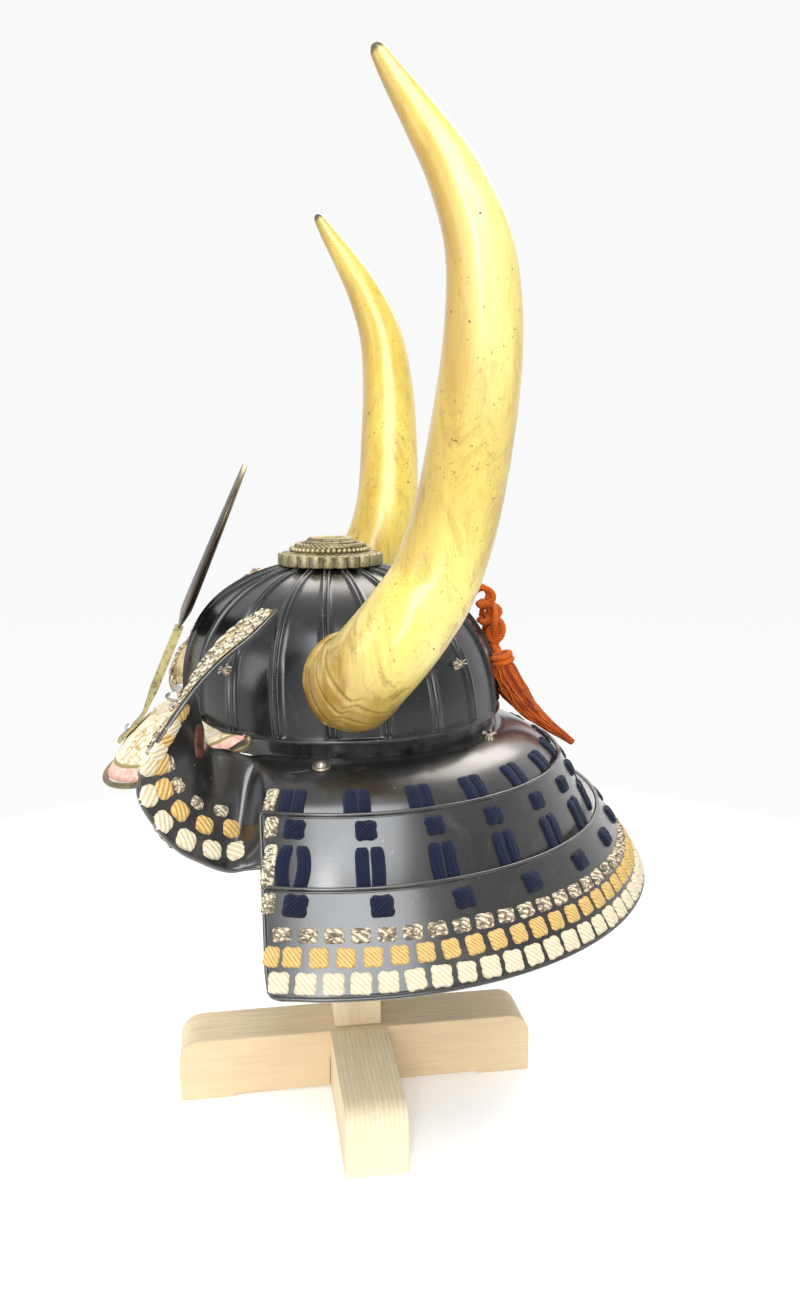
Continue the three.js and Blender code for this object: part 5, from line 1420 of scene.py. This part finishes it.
def make_front_knots(batch):
    """The flecked laces and knots at the guard's front ends."""
    for side, _ in SIDES:
        guard_lace(batch, map_1, guard_angle(66.4, side), 309.0, 294, 9.5, 2.4)
        guard_lace(batch, map_2, guard_angle(69.2, side), 280, 251, 9.5, 2.6)
        guard_knot(batch, map_2, guard_angle(68.4, side), 289.6, (9.8, 15, 3.2), ridges=6)
        guard_knot(batch, map_3, guard_angle(70.9, side), 250.6, (9.8, 15.5, 3.2), ridges=6)


def make_hem_row(kind, first, pitch, z, fall, size, ridges, lobes):
    steps = int((180 - first) / pitch + 0.5)
    left = [first + (180 - first) / steps * k for k in range(steps + 1)]
    for angle in sorted({round(a, 3) for a in left} | {round(360 - a, 3) for a in left}):
        back = max(1 - abs(angle - 180) / 106, 0)
        guard_knot(braids[kind], map_3, angle, z - fall * back ** 1.3, size, ridges=ridges, lobes=lobes)


def make_turnback_knots(kind, spots):
    found = [hit_pixel(map_1, u, w) for u, w in spots]
    places = [point for point, _ in found]
    for n, (point, normal) in enumerate(found):
        along = places[min(n + 1, len(places) - 1)] - places[max(n - 1, 0)]
        for side, q, d, s in both_sides(point, normal, along):
            pad(braids[kind], q, d, s, KNOT_SIZE[kind], ridges=6, slant=side, lobes=0.05, square=2.6)


make_front_knots(braids["flecked"])
for row in HEM_ROWS:
    make_hem_row(*row)
for side, _ in SIDES:
    guard_knot(braids["tan"], map_3, guard_angle(72.7, side), 224.0, (11.0, 13.4, 2.6), ridges=8)
for kind, spots in TURNBACK_KNOTS:
    make_turnback_knots(kind, spots)
for (kind, batch), material in zip(braids.items(), (FLECK, TAN, CREAM)):
    batch.done(f"{kind}_knots", material, "pale_lace")

# Frayed cord ends by their places in the photograph, with their sizes. Each is mirrored to the other side.
CORD_ENDS = [(457, 665, bowl_map, 8.0), (228, 671, bowl_map, 7.0), (489, 739, map_1, 6.5)]
CORD_END_FRAYS = 7


def make_cord_end(batch, u, w, tree, size):
    for _, q, d, along in both_sides(*hit_pixel(tree, u, w), Vector((0, 1, 0.3))):
        pad(batch, q, d, along, (size * 1.2, size, 3.6), ridges=3, square=2.2, lobes=0.1)
        start = q + d * 2.2
        for _ in range(CORD_END_FRAYS):
            out = Vector((random.uniform(-0.3, 0.3), random.uniform(-1, 1), random.uniform(-0.2, 1)))
            out = (out - d * out.dot(d) + d * 0.25).normalized()
            rope(batch, [start, start + out * 3 + d * 0.8, start + out * 6.5], 0.55, *FINE_FRAY)


bowl_knots = Batch()
for cord_end in CORD_ENDS:
    make_cord_end(bowl_knots, *cord_end)
bowl_knots.done("bowl_cord_knots", FLECK, "pale_lace")

# The rings under the guard's studs, and in front of each a near-black pad painted as the shade inside a slot.
STUD_RING = 5.6
SLOT_AHEAD = 17
slots, stud_rings = Batch(), Batch()
for side, name in SIDES:
    low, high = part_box(f"guard_stud_{name}")
    middle = unplace((Vector(low) + Vector(high)) / 2)
    point, normal = nearest(map_1, middle)
    across = flat_on(Vector((0, 1, 0)), normal)
    ring = [on_circle(point + normal * 0.8, across, normal.cross(across), STUD_RING, a) for a in turns(12)]
    rope(stud_rings, ring, 1.3, *WIRE, closed=True)
    point, normal = nearest(map_1, middle - across * SLOT_AHEAD)
    pad(slots, point, normal, across, (19, 6.4, 0.45), ridges=1, square=3.4, lobes=0)
stud_rings.done("stud_rings", STUD, "brass")
slots.done("guard_slot_shades", SLOT_SHADE, "guard_lacquer")

# The bit of leather at the turnback's foot.
tab = Batch()
for _, q, d, along in both_sides(*hit_pixel(map_1, 199, 741), Vector((0, 1, 0))):
    pad(tab, q, d, along, (13.0, 27.0, 1.8), ridges=1, square=2.6, lobes=0.1)
tab.done("turnback_tab", RED_LEATHER, "leather")

# Rear bow: its cords by their places in the photograph, as column, row, and how far out they lie.
BOW_STRANDS = [
    [(474, 594, 1), (477.5, 589.5, 3), (483.8, 588, 6), (491, 592, 8), (493, 597.5, 8), (490, 603, 7),
     (482.5, 605, 4), (477, 603, 2)],
    [(478, 607, 2), (487.5, 604, 6), (496, 606.5, 9), (499.5, 612, 9), (494, 618.5, 9), (485, 622.5, 7),
     (480, 620, 3)],
    [(480, 600, 1), (486, 605, 3), (491, 611, 4), (494, 617, 5)],
    [(484, 622, 3), (493, 618, 7), (500.5, 622, 9), (502.8, 630, 9), (499.8, 638, 8), (493.5, 641.5, 6),
     (488.5, 637, 6), (489, 630, 7), (493.5, 625.5, 8)],
    [(486, 612, 2), (490, 622, 3), (494, 633, 3), (492, 641, 2)],
    [(491, 640, 3), (493.5, 646, 6), (497, 652, 12), (501, 657, 18), (503, 661, 22)],
]
# The upper loop, as places on the helmet.
BOW_EARS = [(2, 124, 411), (12, 125, 415), (21, 124, 411), (24, 123, 403), (18, 123, 397), (9, 125, 399),
            (2, 125, 404)]
BOW_CORD = 2.8
EAR_CORD = 2.4
orange = Batch()
for side, _ in SIDES:
    for points, radius in [(traced(s), BOW_CORD) for s in BOW_STRANDS] + [(BOW_EARS, EAR_CORD)]:
        rope(orange, [mirror_x(Vector(q), side) for q in points], radius, *SILK)
orange.done("bow_cords", ORANGE, "orange_cord", ("rear_bow",))

# Tassels: the collar's two turns as place back, height and radius, then the skirt's axis and its radii.
COLLAR_TURNS = ((129.0, 374.6, 7.4), (130.4, 370.2, 7.6))
COLLAR_OUT = 22
COLLAR_TILT = Vector((0, 0.87, 0.28)).normalized()
COLLAR_CORD = 2.6
TASSEL_LINE = [(22, 129, 376), (22, 130.2, 369), (22, 131.5, 363), (22, 142, 345), (22.5, 153, 329.5),
               (25, 170, 315), (28, 191, 299.5)]
TASSEL_RADII = [5.6, 7.2, 8.8, 9.2, 7.4, 4.6, 2.2]
TASSEL_STATIONS = 26
TASSEL_STRANDS = 250
CORE_SHARE = 0.74
# The core's low tone is painted shade inside the skirt.
CORE_TONE = 0.25
# Random darkness of single strands, partly their own colour and partly painted shade among them.
STRAND_TONES = (0.15, 0.45, 0.8, 1)


def make_collar(side, name):
    collar = Batch()
    for back, height, radius in COLLAR_TURNS:
        middle = Vector((COLLAR_OUT * side, back, height))
        circle = [on_circle(middle, Vector((1, 0, 0)), COLLAR_TILT, radius, a) for a in turns(12)]
        rope(collar, circle, COLLAR_CORD, *TIGHT_SILK, closed=True)
    collar.done(f"tassel_collar_{name}", ORANGE, "orange_cord")


def make_tassel(side, name):
    """A skirt of loose strands round a core painted dark as the shade between them, that narrows to a lock.
    """
    axis = [mirror_x(Vector(q), side) for q in TASSEL_LINE]
    centres = [catmull(axis, i / TASSEL_STATIONS) for i in range(TASSEL_STATIONS + 1)]
    frames = frames_along(centres, Vector((1, 0, 0)))
    batch = Batch()
    core = []
    for i, frame in enumerate(frames):
        radius = catmull(TASSEL_RADII, i / TASSEL_STATIONS) * CORE_SHARE
        core.append([on_circle(*frame, radius, a) for a in turns(20)])
    batch.loft(core, caps=True, tone=CORE_TONE)
    rng = random.Random(5 + side)
    for n in range(TASSEL_STRANDS):
        start = rng.uniform(0, 2 * math.pi)
        layer = rng.uniform(0.78, 1.0) if n % 9 else rng.uniform(1.0, 1.1)
        last = TASSEL_STATIONS * (rng.uniform(0.72, 1.0) if n % 4 else 1.0)
        crimp, phase = rng.uniform(0.25, 0.7), rng.uniform(0, 6.28)
        slant = rng.uniform(-0.9, 0.9)
        points = []
        for i in range(0, int(last) + 1, 2):
            t = i / TASSEL_STATIONS
            point, across, up = frames[i]
            a = start + slant * t + 0.1 * math.sin(9 * t + phase)
            wiggle = crimp * math.sin(34 * t + phase)
            radius = catmull(TASSEL_RADII, t) * layer + wiggle * 0.6
            sideways = up * math.cos(a) - across * math.sin(a)
            points.append(on_circle(point, across, up, radius, a) + sideways * wiggle)
        rope(batch, points, rng.uniform(0.45, 0.85), *STRAND, taper=0.3, tone=rng.choice(STRAND_TONES))
    batch.done(f"tassel_strands_{name}", STRANDS, "orange_cord", (f"tassel_{name}",))


for side, name in SIDES:
    make_collar(side, name)
    make_tassel(side, name)


# Finishes of the model's own pieces.
SHARP_ANGLE = 38
BEVEL_ANGLE = 40
WELD = 1e-5


def soften():
    """A modifier that welds, smooths gentle edges and keeps sharp ones."""
    group = bpy.data.node_groups.new("soften", "GeometryNodeTree")
    for direction in ("INPUT", "OUTPUT"):
        group.interface.new_socket("Geometry", in_out=direction, socket_type="NodeSocketGeometry")
    start, end, weld, faces, angle, sharp, edges = (group.nodes.new(kind) for kind in (
        "NodeGroupInput", "NodeGroupOutput", "GeometryNodeMergeByDistance", "GeometryNodeSetShadeSmooth",
        "GeometryNodeInputMeshEdgeAngle", "FunctionNodeCompare", "GeometryNodeSetShadeSmooth"))
    weld.inputs["Distance"].default_value = WELD
    sharp.operation = "GREATER_THAN"
    sharp.inputs[1].default_value = math.radians(SHARP_ANGLE)
    edges.domain = "EDGE"
    edges.inputs["Shade Smooth"].default_value = False
    for a, b in ((start.outputs[0], weld.inputs["Geometry"]), (weld.outputs[0], faces.inputs["Geometry"]),
                 (faces.outputs[0], edges.inputs["Geometry"]),
                 (angle.outputs["Unsigned Angle"], sharp.inputs[0]),
                 (sharp.outputs[0], edges.inputs["Selection"]), (edges.outputs[0], end.inputs[0])):
        group.links.new(a, b)
    return group


SOFTEN = soften()
FINISHES = {
    BLACK: ("base_band", "horn_peg_left", "horn_peg_right"),
    STEEL: ("peak_rivet_middle", "peak_rivet_left", "peak_rivet_right", "holder_rivet"),
    BRASS: ("crest_holder", "rear_post", "rear_ring"), STUD: ("guard_stud_left", "guard_stud_right"),
    WOOD_X: ("stand_side_beam",), WOOD_Y: ("stand_front_beam",), WOOD_Z: ("stand_post",),
    WOOD_HEAD: ("stand_head",),
}
BEVELS = {"stand_side_beam": 1.4, "stand_front_beam": 1.4, "stand_post": 1.2, "crest_holder": 0.5}


def finish(node_name, material):
    node = frame["nodes"][node_name]
    if node.material_slots:
        for slot in node.material_slots:
            slot.material = material
    else:
        node.data.materials.append(material)
    node.modifiers.new("soften", "NODES").node_group = SOFTEN
    if node_name in BEVELS:
        bevel = node.modifiers.new("bevel", "BEVEL")
        bevel.width = BEVELS[node_name] * MM
        bevel.segments = 3
        bevel.limit_method = "ANGLE"
        bevel.angle_limit = math.radians(BEVEL_ANGLE)


for material, node_names in FINISHES.items():
    for node_name in node_names:
        finish(node_name, material)

# Floor and light, in metres. The floor glows as painted light: faintly near the helmet, which lightens the
# shadows there, and brightly far off, where it fades into the white of the room.
FLOOR_HALF = 6
FLOOR_DROP = 0.0005
look = Look("floor")
paint = look.mix(look.grey(look.noise(3, 2), 0, 1), (0.93, 0.93, 0.92), (0.96, 0.96, 0.955))
away = look.add("ShaderNodeVectorMath", {0: look.where}, "Value", operation="LENGTH")
paint = look.mix(look.grey(away, 0, 1, 0.2, 0.9), paint, (0.02, 0.02, 0.02))
look.done(Base_Color=paint, Emission_Strength=look.grey(away, 0.2, 0.94, 0.2, 0.9), Emission_Color=(1, 1, 1),
          Specular_IOR_Level=0.0, Roughness=0.8)
corners = [(x * FLOOR_HALF, y * FLOOR_HALF, -FLOOR_DROP) for x, y in ((-1, -1), (1, -1), (1, 1), (-1, 1))]
floor_mesh = bpy.data.meshes.new("floor")
floor_mesh.from_pydata(corners, [], [(0, 1, 2, 3)])
floor_mesh.materials.append(look.material)
link("floor", floor_mesh)

# The room is bright on the far side and dimmer behind the camera.
ROOM_LEVELS = ((0.3, 0.5), (0.8, 0.95))
world = bpy.data.worlds.new("world")
bpy.context.scene.world = world
world.use_nodes = True
room = world.node_tree
where, parts, share, levels = (room.nodes.new("ShaderNode" + kind) for kind in (
    "TexCoord", "SeparateXYZ", "Math", "ValToRGB"))
share.operation = "MULTIPLY_ADD"
share.inputs[1].default_value = -0.5
share.inputs[2].default_value = 0.5
for element, (spot, level) in zip(levels.color_ramp.elements, ROOM_LEVELS):
    element.position = spot
    element.color = (level, level, level * 1.01, 1)
for a, b in ((where.outputs["Generated"], parts.inputs[0]), (parts.outputs["X"], share.inputs[0]),
             (share.outputs[0], levels.inputs[0]), (levels.outputs[0], room.nodes["Background"].inputs[0])):
    room.links.new(a, b)


def area_light(name, where, target, size, power, colour=(1, 1, 1)):
    data = bpy.data.lights.new(name, "AREA")
    data.shape = "RECTANGLE"
    data.size, data.size_y = size
    data.energy = power
    data.color = colour
    light = link(name, data)
    light.location = where
    light.rotation_euler = (Vector(target) - Vector(where)).to_track_quat("-Z", "Y").to_euler()


area_light("ceiling", (1.45, -0.05, 1.85), (0.2, -0.03, 0.3), (1.5, 1.5), 44, (0.93, 0.965, 1))
area_light("rear", (-1.3, 0.5, 1.8), (0.1, 0.08, 0.32), (1.7, 1.3), 32, (1, 0.93, 0.84))
area_light("front", (0.9, -2.1, 1.0), (0, 0, 0.35), (0.8, 1.2), 8)
area_light("near", (1.9, -0.5, 0.8), (0, 0, 0.5), (0.25, 1.3), 14)
bpy.context.scene.view_settings.view_transform = "Standard"
